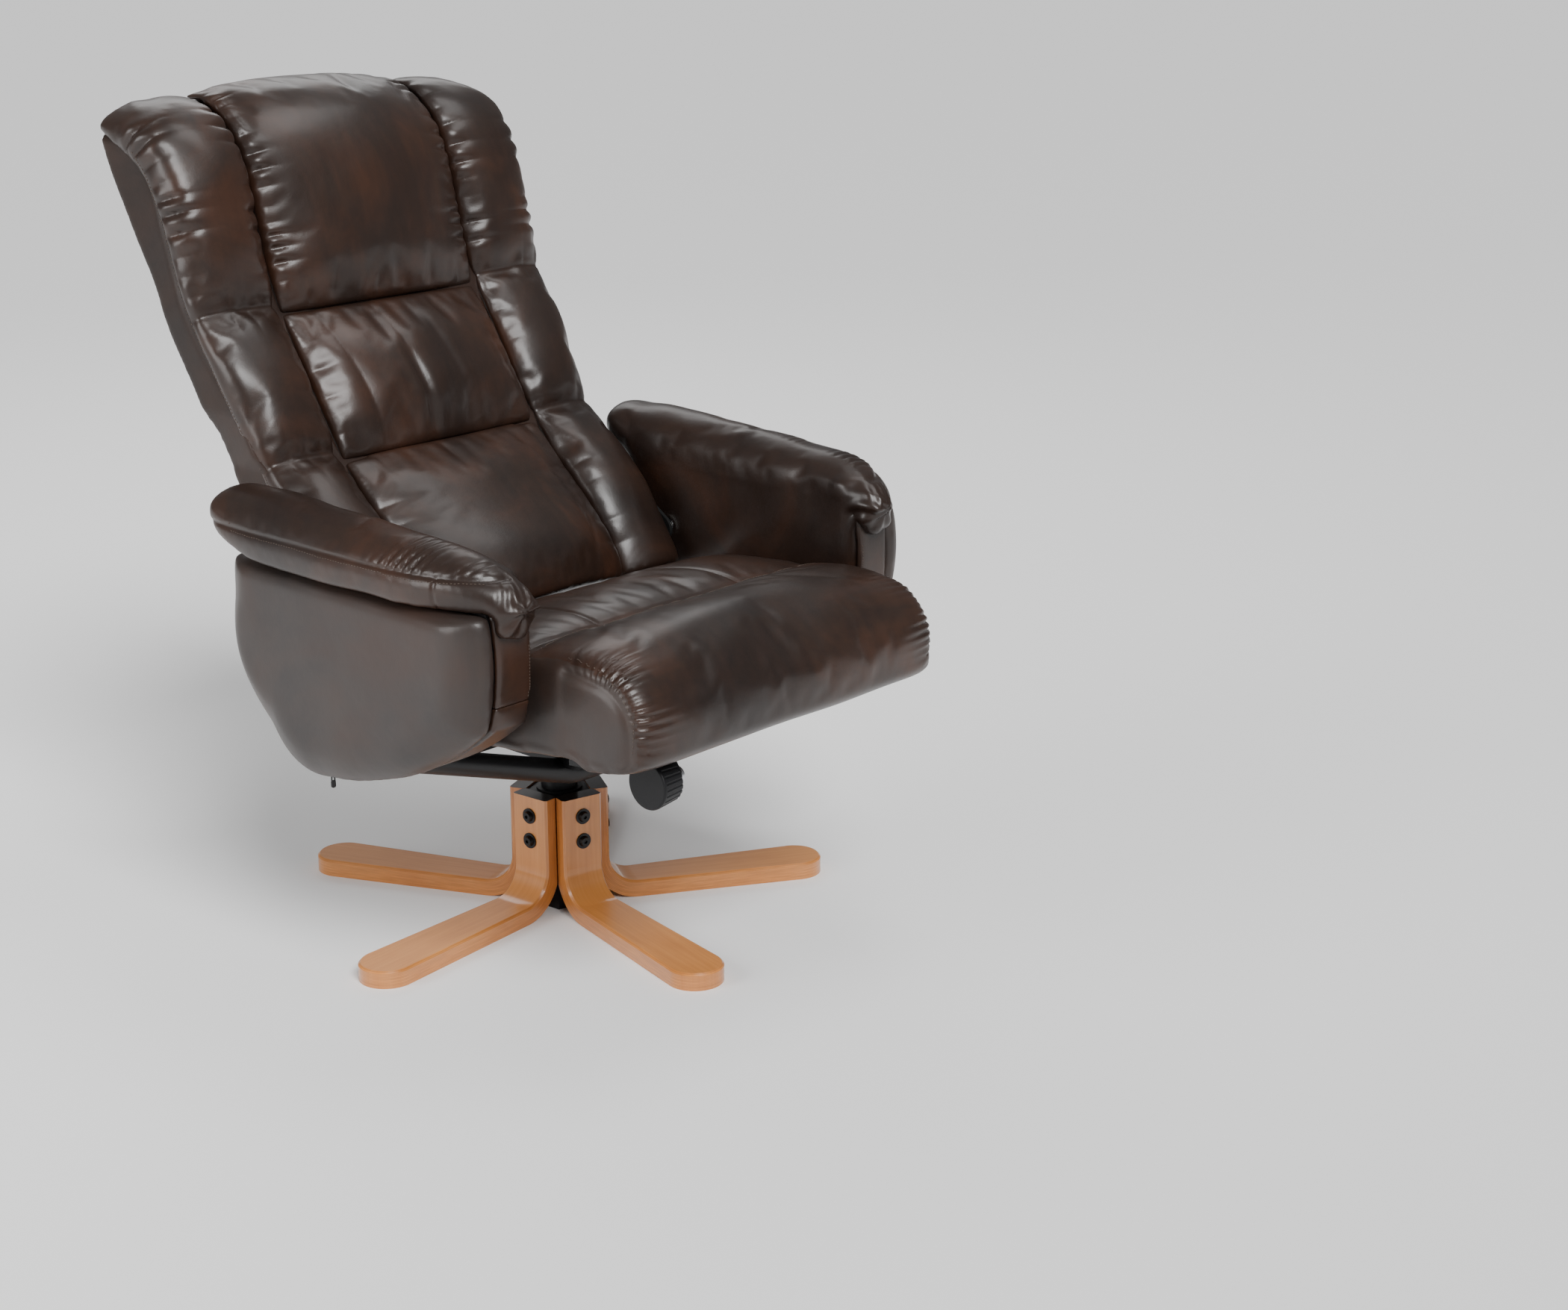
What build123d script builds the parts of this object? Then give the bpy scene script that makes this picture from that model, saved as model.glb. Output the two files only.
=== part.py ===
from build123d import *
import os
from math import cos, pi, radians, sin, tan

# A swivel recliner on a five-legged star base of bent plywood. Millimetres.
# The sitter faces -Y, +Z is up, and the origin is on the swivel axis at floor level.
# Right and left are the sitter's: the right arm stands at -X.

# ---------------------------------------------------------------- driving dimensions
RUN_GAP = 0.05  # radial running clearance of a shaft in its bore
SEAT_GAP = 0.3  # distance kept between pieces that touch but don't join
PAD_GAP = 0.7  # the same for a crowned soft piece, whose skin strays a little
LIFT = 0.2  # end play under the swivel sleeve

# star base
LEG_COUNT = 5
LEG_TURN = -85.2  # heading of the first leg, degrees from straight ahead towards +X
LEG_REACH = 347.0  # swivel axis to leg tip
LEG_THICK = 22.0
LEG_TOP = 153.0
LEG_COLUMN_WIDTH = 56.0
LEG_FOOT_WIDTH = 70.0
LEG_BEND = 38.0  # inner radius of the bend
LEG_EDGE = 4.0  # rounding of the long edges
HUB_APOTHEM = 35.0
HUB_WALL = 4.0
HUB_PLATE = 6.0
BOLT_R = 4.0
BOLT_HEAD_R = 7.0
BOLT_HEAD = 4.5
BOLT_DROP = 25.0  # leg top down to the upper bolt
BOLT_PITCH = 33.0
WASHER_R = 10.0
WASHER = 1.6

# swivel
SPINDLE_R = 14.0
THRUST_R = 29.0
THRUST = 3.0
SLEEVE_R = 23.0
SLEEVE_LENGTH = 58.0
CLIP = 3.0

# yoke and carrier under the seat
YOKE_R = 15.0
YOKE_WALL = 2.0
YOKE_Y = -57.0
YOKE_SLOPE = 18.0  # rise of the tube towards the arms, degrees
YOKE_FLAT = 30.0  # level length each side of the middle
YOKE_BEND = 36.0  # centre-line radius of the bend into the post
POST_TOP = 430.0
POST_BOLT_DROP = 30.0  # post top down to the upper arm bolt
POST_BOLT_PITCH = 70.0
CHANNEL_HALF = 55.0
CHANNEL_WALL = 4.0
CHANNEL_FLANGE = 18.0
CHANNEL_REAR = 62.0
CHANNEL_TOE = 8.0  # flanges' reach behind the front cross member

# seat
SEAT_SLOPE = 5.5  # degrees, front edge high
SEAT_HALF = 263.0
SEAT_FRONT = -404.0
SEAT_REAR = 42.0
SEAT_BOTTOM = 293.5  # underside at CROSS_REAR_Y
SEAT_PAD = 107.0  # thickness over the underside at the roll's crown
ROLL_SEAM_Y = -215.0  # seam behind the front roll
ROLL_DEPTH = 56.0  # front face back to the roll's crown
TRAY_REAR = 2.0
TRAY_SETBACK = 74.0  # seat front to tray front
TRAY_HEIGHT = 46.0
TRAY_WALL = 5.0
SEAT_RAIL = 24.0
SEAT_TRAVEL = 50.0  # forward slide at full recline
GUIDE_DROP = 36.0  # seat underside down to the guide pins
GUIDE_X = 152.0  # inner face of the slotted plates
GUIDE_WALL = 4.0
GUIDE_DEPTH = 22.0  # slotted plate's height between its lobes
GUIDE_FLANGE = 36.0
PIN_R = 6.0
PIN_HEAD = 5.0
LOBE = 9.0  # steel left round a slot
CROSS_FRONT_Y = -250.0
CROSS_REAR_Y = 50.0
CROSS_DEPTH = 22.0

# tension knob
KNOB_R = 29.0
KNOB_Y = -350.0
KNOB_Z = 290.0
KNOB_LENGTH = 32.0
KNOB_STEM = 10.0  # slotted plate to knob
KNOB_ARM_WALL = 4.0
KNOB_ARM_DEPTH = 21.0
KNOB_ARM_DROP = 12.0  # seat underside down to the top of the knob's arm
KNOB_RIM = 4.0
KNOB_BORE = 12.0  # depth of the stud in the knob
KNOB_FLUTES = 24
FLUTE_R = 2.2

# arms
ARM_GAP = 16.0  # seat side to arm
ARM_FRONT = -262.0
ARM_REAR = 174.0
ARM_LOW = 250.0
ARM_SAG_Y = 38.0  # where the arm's underside is lowest
ARM_LINER = 17.0
LINER_BEVEL = 5.0
ARM_CORE = 34.0
ARM_PANEL = 40.0
ARM_BORDER = 9.0
ARM_TOP = 498.0  # top of the wooden core
STRIP_LOW = 392.0  # lower end of the arm's front strip
ZIP_PULL = 9.0
PIVOT_Y = 75.0
PIVOT_Z = 425.0
PIVOT_R = 8.0
BUSH_WALL = 3.0

# backrest
BACK_GAP = 17.0  # arm to the back's narrow part
BACK_SPREAD = 19.0  # how much further the back reaches above the arms, each side
BOLSTER_WIDTH = 103.0  # between the arms
BACK_FOOT_Y = 62.0
BACK_FOOT_Z = 372.0
BACK_RUN = 420.0  # foot to top, rearwards
BACK_RISE = 617.0  # foot to top, upwards
SHOULDER = 34.0  # fall of the top edge over a bolster
SHELL_WALL = 7.0
SHELL_CAP = 31.0  # closed top of the rear cover
RAIL_WIDTH = 22.0
RAIL_DEPTH = 34.0
WEB_WIDTH = 48.0
WEB = 2.5
HINGE_WALL = 5.0
HINGE_EAR = 18.0
HINGE_SPACER_R = 12.0

SIDES = {"right": -1, "left": 1}

# widths that follow from the seat's
arm_in = SEAT_HALF + ARM_GAP
post_x = arm_in + ARM_LINER + SEAT_GAP + ARM_CORE / 2
back_low_half = arm_in - BACK_GAP
back_half = back_low_half + BACK_SPREAD
back_centre_half = back_low_half - BOLSTER_WIDTH

os.makedirs("parts", exist_ok=True)


def keep(part, name):
    """Label a finished piece and write it under its own name."""
    part.label = name
    export_step(part, f"parts/{name}.step")


def across(side, near, far):
    """The plane and depth of a slab that runs from |x| = near to |x| = far on one side."""
    return Plane.YZ.offset(min(side * near, side * far)), far - near


def rod(side, y, z, near, far, radius):
    """A round bar along X from |x| = near to |x| = far."""
    plane, depth = across(side, near, far)
    with BuildPart(mode=Mode.PRIVATE) as bar:
        with BuildSketch(plane):
            with Locations((y, z)):
                Circle(radius)
        extrude(amount=depth)
    return bar.part


# ---------------------------------------------------------------- star base
hub_top = LEG_TOP - THRUST
leg_out = HUB_APOTHEM + LEG_THICK
bend_out = LEG_BEND + LEG_THICK
bolt_heights = [LEG_TOP - BOLT_DROP, LEG_TOP - BOLT_DROP - BOLT_PITCH]
bolt_tip = HUB_APOTHEM - HUB_WALL - 6.0


def leg_heading(number):
    """Direction of a leg, in degrees from +X."""
    return LEG_TURN - 90 + number * 360 / LEG_COUNT


def leg_plane(number):
    """Upright plane through the swivel axis along a leg: x outwards, y up."""
    a = radians(leg_heading(number))
    return Plane(origin=(0, 0, 0), x_dir=(cos(a), sin(a), 0), z_dir=(sin(a), -cos(a), 0))


def bolt_plane(number, height, radius):
    """Plane square to a leg's column, facing outwards, at a bolt's axis."""
    a = radians(leg_heading(number))
    direction = (cos(a), sin(a), 0)
    origin = (radius * cos(a), radius * sin(a), height)
    return Plane(origin=origin, x_dir=(-sin(a), cos(a), 0), z_dir=direction)


def star_leg(number):
    """One L-shaped leg, bent from plywood, wider at the foot, with a round tip."""
    with BuildPart() as leg:
        with BuildSketch(leg_plane(number)):
            with BuildLine():
                Line((HUB_APOTHEM, LEG_TOP), (leg_out, LEG_TOP))
                Line((leg_out, LEG_TOP), (leg_out, bend_out))
                RadiusArc((leg_out, bend_out), (leg_out + LEG_BEND, LEG_THICK), -LEG_BEND)
                Line((leg_out + LEG_BEND, LEG_THICK), (LEG_REACH, LEG_THICK))
                Line((LEG_REACH, LEG_THICK), (LEG_REACH, 0))
                Line((LEG_REACH, 0), (HUB_APOTHEM + bend_out, 0))
                RadiusArc((HUB_APOTHEM + bend_out, 0), (HUB_APOTHEM, bend_out), bend_out)
                Line((HUB_APOTHEM, bend_out), (HUB_APOTHEM, LEG_TOP))
            make_face()
        extrude(amount=LEG_FOOT_WIDTH / 2, both=True)
        # plan shape: mitred at the hub, straight column, flare along the foot, half-round tip
        half = LEG_COLUMN_WIDTH / 2
        foot = LEG_FOOT_WIDTH / 2
        mitre = half / tan(pi / LEG_COUNT) + SEAT_GAP
        inner = (HUB_APOTHEM - SEAT_GAP) * tan(pi / LEG_COUNT)
        plan = Plane(
            origin=(0, 0, 0),
            x_dir=leg_plane(number).x_dir,
            z_dir=(0, 0, 1),
        )
        with BuildSketch(plan):
            with BuildLine():
                Line((HUB_APOTHEM, -inner), (mitre + 1, -half))
                Line((mitre + 1, -half), (leg_out + 6, -half))
                Line((leg_out + 6, -half), (LEG_REACH - foot, -foot))
                ThreePointArc((LEG_REACH - foot, -foot), (LEG_REACH, 0), (LEG_REACH - foot, foot))
                Line((LEG_REACH - foot, foot), (leg_out + 6, half))
                Line((leg_out + 6, half), (mitre + 1, half))
                Line((mitre + 1, half), (HUB_APOTHEM, inner))
                Line((HUB_APOTHEM, inner), (HUB_APOTHEM, -inner))
            make_face()
        extrude(amount=LEG_TOP, mode=Mode.INTERSECT)
        rim = leg.edges().filter_by(lambda e: LEG_THICK - 0.5 < e.center().Z and e.length > 30)
        rim = rim.filter_by(lambda e: Vector(e.center().X, e.center().Y, 0).length > leg_out - 1)
        rim = rim.filter_by(lambda e: e.center().Z < LEG_TOP - 1)
        chamfer(rim, LEG_EDGE * 0.7)
        for height in bolt_heights:
            with BuildSketch(bolt_plane(number, height, HUB_APOTHEM)):
                Circle(BOLT_R + SEAT_GAP)
            extrude(amount=LEG_THICK, mode=Mode.SUBTRACT)
    keep(leg.part, f"leg_{number + 1}")


for number in range(LEG_COUNT):
    star_leg(number)

# pentagonal steel column that the legs are bolted to, one flat behind each leg
hub_turn = leg_heading(0) + 180 / LEG_COUNT
with BuildPart() as hub_column:
    with BuildSketch():
        RegularPolygon(HUB_APOTHEM, LEG_COUNT, major_radius=False, rotation=hub_turn)
    extrude(amount=hub_top)
    with BuildSketch(Plane.XY.offset(HUB_PLATE)):
        RegularPolygon(HUB_APOTHEM - HUB_WALL, LEG_COUNT, major_radius=False, rotation=hub_turn)
    extrude(amount=hub_top - 2 * HUB_PLATE, mode=Mode.SUBTRACT)
    with BuildSketch(Plane.XY.offset(hub_top - HUB_PLATE)):
        Circle(SPINDLE_R)
    extrude(amount=HUB_PLATE, mode=Mode.SUBTRACT)
    for number in range(LEG_COUNT):
        for height in bolt_heights:
            with BuildSketch(bolt_plane(number, height, bolt_tip)):
                Circle(BOLT_R + SEAT_GAP)
            extrude(amount=HUB_APOTHEM - bolt_tip + 1, mode=Mode.SUBTRACT)
keep(hub_column.part, "hub_column")

with BuildPart() as leg_bolts:
    for number in range(LEG_COUNT):
        for height in bolt_heights:
            with BuildSketch(bolt_plane(number, height, bolt_tip)):
                Circle(BOLT_R)
            extrude(amount=leg_out + WASHER - bolt_tip)
            with BuildSketch(bolt_plane(number, height, leg_out + WASHER)):
                Circle(BOLT_HEAD_R)
            extrude(amount=BOLT_HEAD, taper=18)
            with BuildSketch(bolt_plane(number, height, leg_out + WASHER + BOLT_HEAD / 2)):
                RegularPolygon(2.5, 6)
            extrude(amount=BOLT_HEAD, mode=Mode.SUBTRACT)
keep(leg_bolts.part, "leg_bolts")

with BuildPart() as leg_washers:
    for number in range(LEG_COUNT):
        for height in bolt_heights:
            with BuildSketch(bolt_plane(number, height, leg_out)):
                Circle(WASHER_R)
                Circle(BOLT_R + SEAT_GAP, mode=Mode.SUBTRACT)
            extrude(amount=WASHER)
keep(leg_washers.part, "leg_washers")

sleeve_z = hub_top + THRUST + LIFT
sleeve_top = sleeve_z + SLEEVE_LENGTH

with BuildPart() as thrust_washer:
    with BuildSketch(Plane.XY.offset(hub_top)):
        Circle(THRUST_R)
        Circle(SPINDLE_R + RUN_GAP, mode=Mode.SUBTRACT)
    extrude(amount=THRUST)
keep(thrust_washer.part, "thrust_washer")

with BuildPart() as spindle:
    with BuildSketch(Plane.XY.offset(HUB_PLATE)):
        Circle(SPINDLE_R - RUN_GAP)
    extrude(amount=sleeve_top + CLIP + 4 - HUB_PLATE)
    chamfer(spindle.edges().group_by(Axis.Z)[-1], 1.5)
keep(spindle.part, "spindle")

with BuildPart() as spindle_clip:
    with BuildSketch(Plane.XY.offset(sleeve_top + LIFT)):
        Circle(SPINDLE_R + 6)
        Circle(SPINDLE_R, mode=Mode.SUBTRACT)
    extrude(amount=CLIP)
keep(spindle_clip.part, "spindle_clip")

# ---------------------------------------------------------------- carrier and yoke
with BuildPart() as swivel_sleeve:
    with BuildSketch(Plane.XY.offset(sleeve_z)):
        Circle(SLEEVE_R)
        Circle(SPINDLE_R, mode=Mode.SUBTRACT)
    extrude(amount=SLEEVE_LENGTH)
    chamfer(swivel_sleeve.edges().group_by(Axis.Z)[-1].sort_by(SortBy.LENGTH)[-1], 1)
keep(swivel_sleeve.part, "swivel_sleeve")

seat_rise = tan(radians(SEAT_SLOPE))


def seat_floor(y):
    """Height of the seat's underside at a given y."""
    return SEAT_BOTTOM + (CROSS_REAR_Y - y) * seat_rise


def guide_line(y):
    """Height of the guide pins' line at a given y."""
    return seat_floor(y) - GUIDE_DROP


yoke_z = sleeve_top - CHANNEL_WALL - YOKE_R
yoke_end_z = yoke_z + (post_x - YOKE_FLAT) * tan(radians(YOKE_SLOPE))
web_z = yoke_z + YOKE_R
cross_front_low = guide_line(CROSS_FRONT_Y) - CROSS_DEPTH / 2
cross_front_face = CROSS_FRONT_Y - CROSS_DEPTH / 2


def yoke_path(side):
    """Centre line of one half of the yoke: level, rising, then upright inside the arm."""
    points = [
        (0, YOKE_Y, yoke_z),
        (side * YOKE_FLAT, YOKE_Y, yoke_z),
        (side * post_x, YOKE_Y, yoke_end_z),
        (side * post_x, YOKE_Y, POST_TOP),
    ]
    return FilletPolyline(*points, radius=(2 * YOKE_BEND, YOKE_BEND))


def yoke_tube(side, radius):
    """A round bar along the yoke's path."""
    with BuildPart(mode=Mode.PRIVATE) as tube:
        with BuildLine():
            yoke_path(side)
        with BuildSketch(Plane(origin=(0, YOKE_Y, yoke_z), z_dir=(side, 0, 0))):
            Circle(radius)
        sweep()
    return tube.part


bolt_post_heights = [POST_TOP - POST_BOLT_DROP, POST_TOP - POST_BOLT_DROP - POST_BOLT_PITCH]


def post_bolt(side, height, radius):
    """One cross bolt that holds an arm to its post."""
    reach = YOKE_R + 2
    return rod(side, YOKE_Y, height, post_x - reach, post_x + reach, radius)


for name, side in SIDES.items():
    yoke = yoke_tube(side, YOKE_R) - yoke_tube(side, YOKE_R - YOKE_WALL)
    for height in bolt_post_heights:
        yoke -= post_bolt(side, height, BOLT_R + SEAT_GAP)
    keep(yoke, f"yoke_{name}")

arm_bolts = [post_bolt(s, h, BOLT_R) for s in SIDES.values() for h in bolt_post_heights]
keep(Compound(arm_bolts), "arm_bolts")

# bent channel: level over the yoke, then rising to the front cross member
channel_bend_y = YOKE_Y - YOKE_R - 12
channel_front_y = cross_front_face
flange_front = cross_front_face + CROSS_DEPTH + CHANNEL_TOE
flange_rear = CROSS_REAR_Y - CROSS_DEPTH / 2 - SEAT_GAP
with BuildPart() as carrier_channel:
    with BuildSketch(Plane.YZ.offset(-CHANNEL_HALF)):
        with BuildLine():
            Polyline(
                (CHANNEL_REAR, web_z),
                (channel_bend_y, web_z),
                (channel_front_y, cross_front_low - CHANNEL_WALL),
                (channel_front_y, cross_front_low),
                (channel_bend_y, web_z + CHANNEL_WALL),
                (CHANNEL_REAR, web_z + CHANNEL_WALL),
                close=True,
            )
        make_face()
    extrude(amount=2 * CHANNEL_HALF)
    for low in (-CHANNEL_HALF, CHANNEL_HALF - CHANNEL_WALL):
        with BuildSketch(Plane.YZ.offset(low)):
            with BuildLine():
                Polyline(
                    (flange_rear, web_z),
                    (channel_bend_y, web_z),
                    (flange_front, cross_front_low - CHANNEL_WALL),
                    (flange_front, cross_front_low + CHANNEL_FLANGE / 3),
                    (channel_bend_y, web_z + CHANNEL_FLANGE),
                    (flange_rear, web_z + CHANNEL_FLANGE),
                    close=True,
                )
            make_face()
        extrude(amount=CHANNEL_WALL)
    with BuildSketch(Plane.XY.offset(web_z - 1)):
        Circle(SLEEVE_R + RUN_GAP)
    extrude(amount=CHANNEL_WALL + 2, mode=Mode.SUBTRACT)
channel = carrier_channel.part
for side in SIDES.values():
    channel -= yoke_tube(side, YOKE_R + RUN_GAP)  # notched round the rising tubes it is welded to
keep(channel, "carrier_channel")

cross_half = GUIDE_X - SEAT_GAP * 2


def cross_member(y, low, high):
    """A steel bar across the carrier, bored at both ends for the guide pins."""
    with BuildPart() as bar:
        with BuildSketch(Plane.YZ.offset(-cross_half)):
            with Locations((y, (low + high) / 2)):
                RectangleRounded(CROSS_DEPTH, high - low, 3)
        extrude(amount=2 * cross_half)
        with BuildSketch(Plane.YZ.offset(-cross_half)):
            with Locations((y, guide_line(y))):
                Circle(PIN_R + RUN_GAP)
        extrude(amount=2 * cross_half, mode=Mode.SUBTRACT)
    return bar.part


def below_seat(y, drop):
    """(y, z) of a point at a drop below the seat's underside."""
    return (y, seat_floor(y) - drop)


# flat arm, welded to the front member's right end, that carries the knob under the seat's front
knob_arm_low = KNOB_ARM_DROP + KNOB_ARM_DEPTH
plane, depth = across(-1, cross_half - KNOB_ARM_WALL, cross_half)
with BuildPart() as knob_arm:
    with BuildSketch(plane):
        with BuildLine():
            Polyline(
                (CROSS_FRONT_Y, guide_line(CROSS_FRONT_Y) - 8),
                below_seat(CROSS_FRONT_Y - 20, knob_arm_low),
                below_seat(KNOB_Y + 40, knob_arm_low),
                (KNOB_Y + 10, KNOB_Z - PIN_R - 6),
                (KNOB_Y - 8, KNOB_Z - PIN_R - 6),
                (KNOB_Y - 10, KNOB_Z + PIN_R),
                below_seat(KNOB_Y + 6, KNOB_ARM_DROP),
                below_seat(CROSS_FRONT_Y - 6, KNOB_ARM_DROP),
                (CROSS_FRONT_Y, guide_line(CROSS_FRONT_Y) + 8),
                close=True,
            )
        make_face()
        with Locations((KNOB_Y, KNOB_Z)):
            Circle(PIN_R + RUN_GAP, mode=Mode.SUBTRACT)
    extrude(amount=depth)
front_member = cross_member(CROSS_FRONT_Y, cross_front_low, cross_front_low + CROSS_DEPTH)
knob_arm_part = knob_arm.part - rod(
    -1, CROSS_FRONT_Y, guide_line(CROSS_FRONT_Y), cross_half - 9, cross_half + 1, PIN_R + RUN_GAP
)
keep(front_member + knob_arm_part, "front_cross_member")
rear_high = guide_line(CROSS_REAR_Y) + CROSS_DEPTH / 2
keep(cross_member(CROSS_REAR_Y, web_z + CHANNEL_WALL, rear_high), "rear_cross_member")

# shoulder pins that the slotted plates ride on
pin_places = [(side, y) for side in SIDES.values() for y in (CROSS_FRONT_Y, CROSS_REAR_Y)]
pin_end = GUIDE_X + GUIDE_WALL + 2 * SEAT_GAP
pin_root = GUIDE_X - 40
guide_pins = []
for side, y in pin_places:
    pin = rod(side, y, guide_line(y), pin_root, pin_end, PIN_R)
    pin += rod(side, y, guide_line(y), pin_end, pin_end + PIN_HEAD, PIN_R + 4)
    guide_pins.append(pin)
keep(Compound(guide_pins), "guide_pins")

# ---------------------------------------------------------------- tension knob
knob_x = GUIDE_X + KNOB_STEM
stud = rod(-1, KNOB_Y, KNOB_Z, cross_half - KNOB_ARM_WALL - 2, knob_x + KNOB_BORE, PIN_R)
stud += rod(
    -1, KNOB_Y, KNOB_Z, cross_half - KNOB_ARM_WALL - PIN_HEAD, cross_half - KNOB_ARM_WALL - 0.5, PIN_R + 4
)
keep(stud, "knob_stud")

knob_plane = Plane(origin=(-knob_x, KNOB_Y, KNOB_Z), x_dir=(0, 1, 0), z_dir=(-1, 0, 0))
with BuildPart() as tension_knob:
    with BuildSketch(knob_plane):
        Circle(KNOB_R - 3)
        with PolarLocations(KNOB_R - 1.5, KNOB_FLUTES):
            Circle(FLUTE_R, mode=Mode.SUBTRACT)
    with BuildSketch(knob_plane.offset(KNOB_LENGTH - KNOB_RIM)):
        Circle(KNOB_R)
        with PolarLocations(KNOB_R + 1.2, KNOB_FLUTES):
            Circle(FLUTE_R, mode=Mode.SUBTRACT)
    loft(ruled=True)
    with BuildSketch(knob_plane.offset(KNOB_LENGTH - KNOB_RIM)):
        Circle(KNOB_R)
    extrude(amount=KNOB_RIM)
    fillet(tension_knob.faces().sort_by(Axis.X)[0].edges(), 2.5)
    with BuildSketch(knob_plane):
        Circle(PIN_R + RUN_GAP)
    extrude(amount=KNOB_BORE, mode=Mode.SUBTRACT)
keep(tension_knob.part, "tension_knob")

# ---------------------------------------------------------------- seat
tray_front = SEAT_FRONT + TRAY_SETBACK
tray_half = SEAT_HALF - 1


def seat_strip(y_rear, y_front, low, high):
    """Corners of a strip that follows the seat's slope, between two heights above its underside."""
    return [
        (y_rear, seat_floor(y_rear) + low),
        (y_front, seat_floor(y_front) + low),
        (y_front, seat_floor(y_front) + high),
        (y_rear, seat_floor(y_rear) + high),
    ]


def seat_bar(side, near, far, corners):
    """A bar along X with a cornered section in the YZ plane."""
    plane, depth = across(side, near, far)
    with BuildPart(mode=Mode.PRIVATE) as bar:
        with BuildSketch(plane):
            with BuildLine():
                Polyline(*corners, close=True)
            make_face()
        extrude(amount=depth)
    return bar.part


def full_bar(half, corners):
    """A bar from -half to +half across the seat."""
    return seat_bar(1, -half, half, corners)


cover = full_bar(tray_half, seat_strip(TRAY_REAR, tray_front, 0, TRAY_HEIGHT))
cover -= full_bar(
    tray_half - TRAY_WALL,
    seat_strip(TRAY_REAR - TRAY_WALL, tray_front + TRAY_WALL, TRAY_WALL, TRAY_HEIGHT + 1),
)
keep(cover, "seat_base_cover")

rail_low = TRAY_WALL
rail_high = TRAY_HEIGHT - WEB - SEAT_GAP
rail_rear = TRAY_REAR - TRAY_WALL - SEAT_GAP
rail_front = tray_front + TRAY_WALL + SEAT_GAP
rail_far = tray_half - TRAY_WALL - SEAT_GAP
rail_near = rail_far - SEAT_RAIL
for name, side in SIDES.items():
    bar = seat_bar(side, rail_near, rail_far, seat_strip(rail_rear, rail_front, rail_low, rail_high))
    keep(bar, f"seat_side_rail_{name}")
cross_rails = [
    full_bar(rail_near, seat_strip(y, y - SEAT_RAIL, rail_low, rail_high))
    for y in (rail_front + SEAT_RAIL, rail_rear)
]
keep(Compound(cross_rails), "seat_cross_rails")
web_count = 4
web_pitch = (rail_rear - rail_front - 2 * SEAT_RAIL) / web_count
webs = []
for number in range(web_count):
    y = rail_front + SEAT_RAIL + web_pitch * (number + 0.5)
    corners = seat_strip(y + WEB_WIDTH / 2, y - WEB_WIDTH / 2, rail_high, rail_high + WEB)
    webs.append(full_bar(rail_far - 3, corners))
keep(Compound(webs), "seat_webbing")

# cushion: crowned top with a drawn-in seam behind the front roll, rounded ends
pad_floor = TRAY_HEIGHT + PAD_GAP


def seat_section(x, shrink, crown):
    """One upright slice of the seat cushion, shrunk inwards near the ends."""
    top = SEAT_PAD - shrink
    front = SEAT_FRONT + shrink
    low = seat_floor(tray_front)
    low_y, high_y = SEAT_REAR - 24, SEAT_REAR - 48  # foot and shoulder of the rear face
    rear_low = (low_y - shrink * 0.3, seat_floor(low_y) + pad_floor)
    rear_mid = (SEAT_REAR - shrink * 0.6, seat_floor(SEAT_REAR) + SEAT_PAD * 0.68)
    rear_top = (high_y - shrink, seat_floor(high_y) + top)
    seam_point = (ROLL_SEAM_Y, seat_floor(ROLL_SEAM_Y) + top + 9)
    roll_back = (front + ROLL_DEPTH, seat_floor(front + ROLL_DEPTH) + top + 1)
    roll_front = (front + 12, low + SEAT_PAD * 0.82 - shrink)
    nose = (front, low + SEAT_PAD * 0.41)
    toe = (front + 16, seat_floor(front + 16) + 3)
    heel = (tray_front - PAD_GAP, seat_floor(tray_front) + 1)
    step = (tray_front - PAD_GAP, seat_floor(tray_front) + pad_floor)
    y1 = (rear_top[0] + ROLL_SEAM_Y) / 2
    y2 = (ROLL_SEAM_Y + roll_back[0]) / 2
    with BuildSketch(Plane.YZ.offset(x)) as section:
        with BuildLine():
            Line(rear_low, rear_mid)
            Line(rear_mid, rear_top)
            ThreePointArc(rear_top, (y1, seat_floor(y1) + top + 5 + crown), seam_point)
            ThreePointArc(seam_point, (y2, seat_floor(y2) + top + 11 + crown * 0.6), roll_back)
            ThreePointArc(roll_back, roll_front, nose)
            ThreePointArc(nose, (front + 3, low + SEAT_PAD * 0.19), toe)
            Line(toe, heel)
            Line(heel, step)
            Line(step, rear_low)
        make_face()
    return section.sketch


seat_slices = [
    (-SEAT_HALF, 26, 0),
    (-SEAT_HALF + 9, 10, 2),
    (-SEAT_HALF + 32, 2, 6),
    (-SEAT_HALF / 2, 0, 10),
    (0, 0, 12),
    (SEAT_HALF / 2, 0, 10),
    (SEAT_HALF - 32, 2, 6),
    (SEAT_HALF - 9, 10, 2),
    (SEAT_HALF, 26, 0),
]
keep(loft([seat_section(*values) for values in seat_slices]), "seat_cushion")

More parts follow.
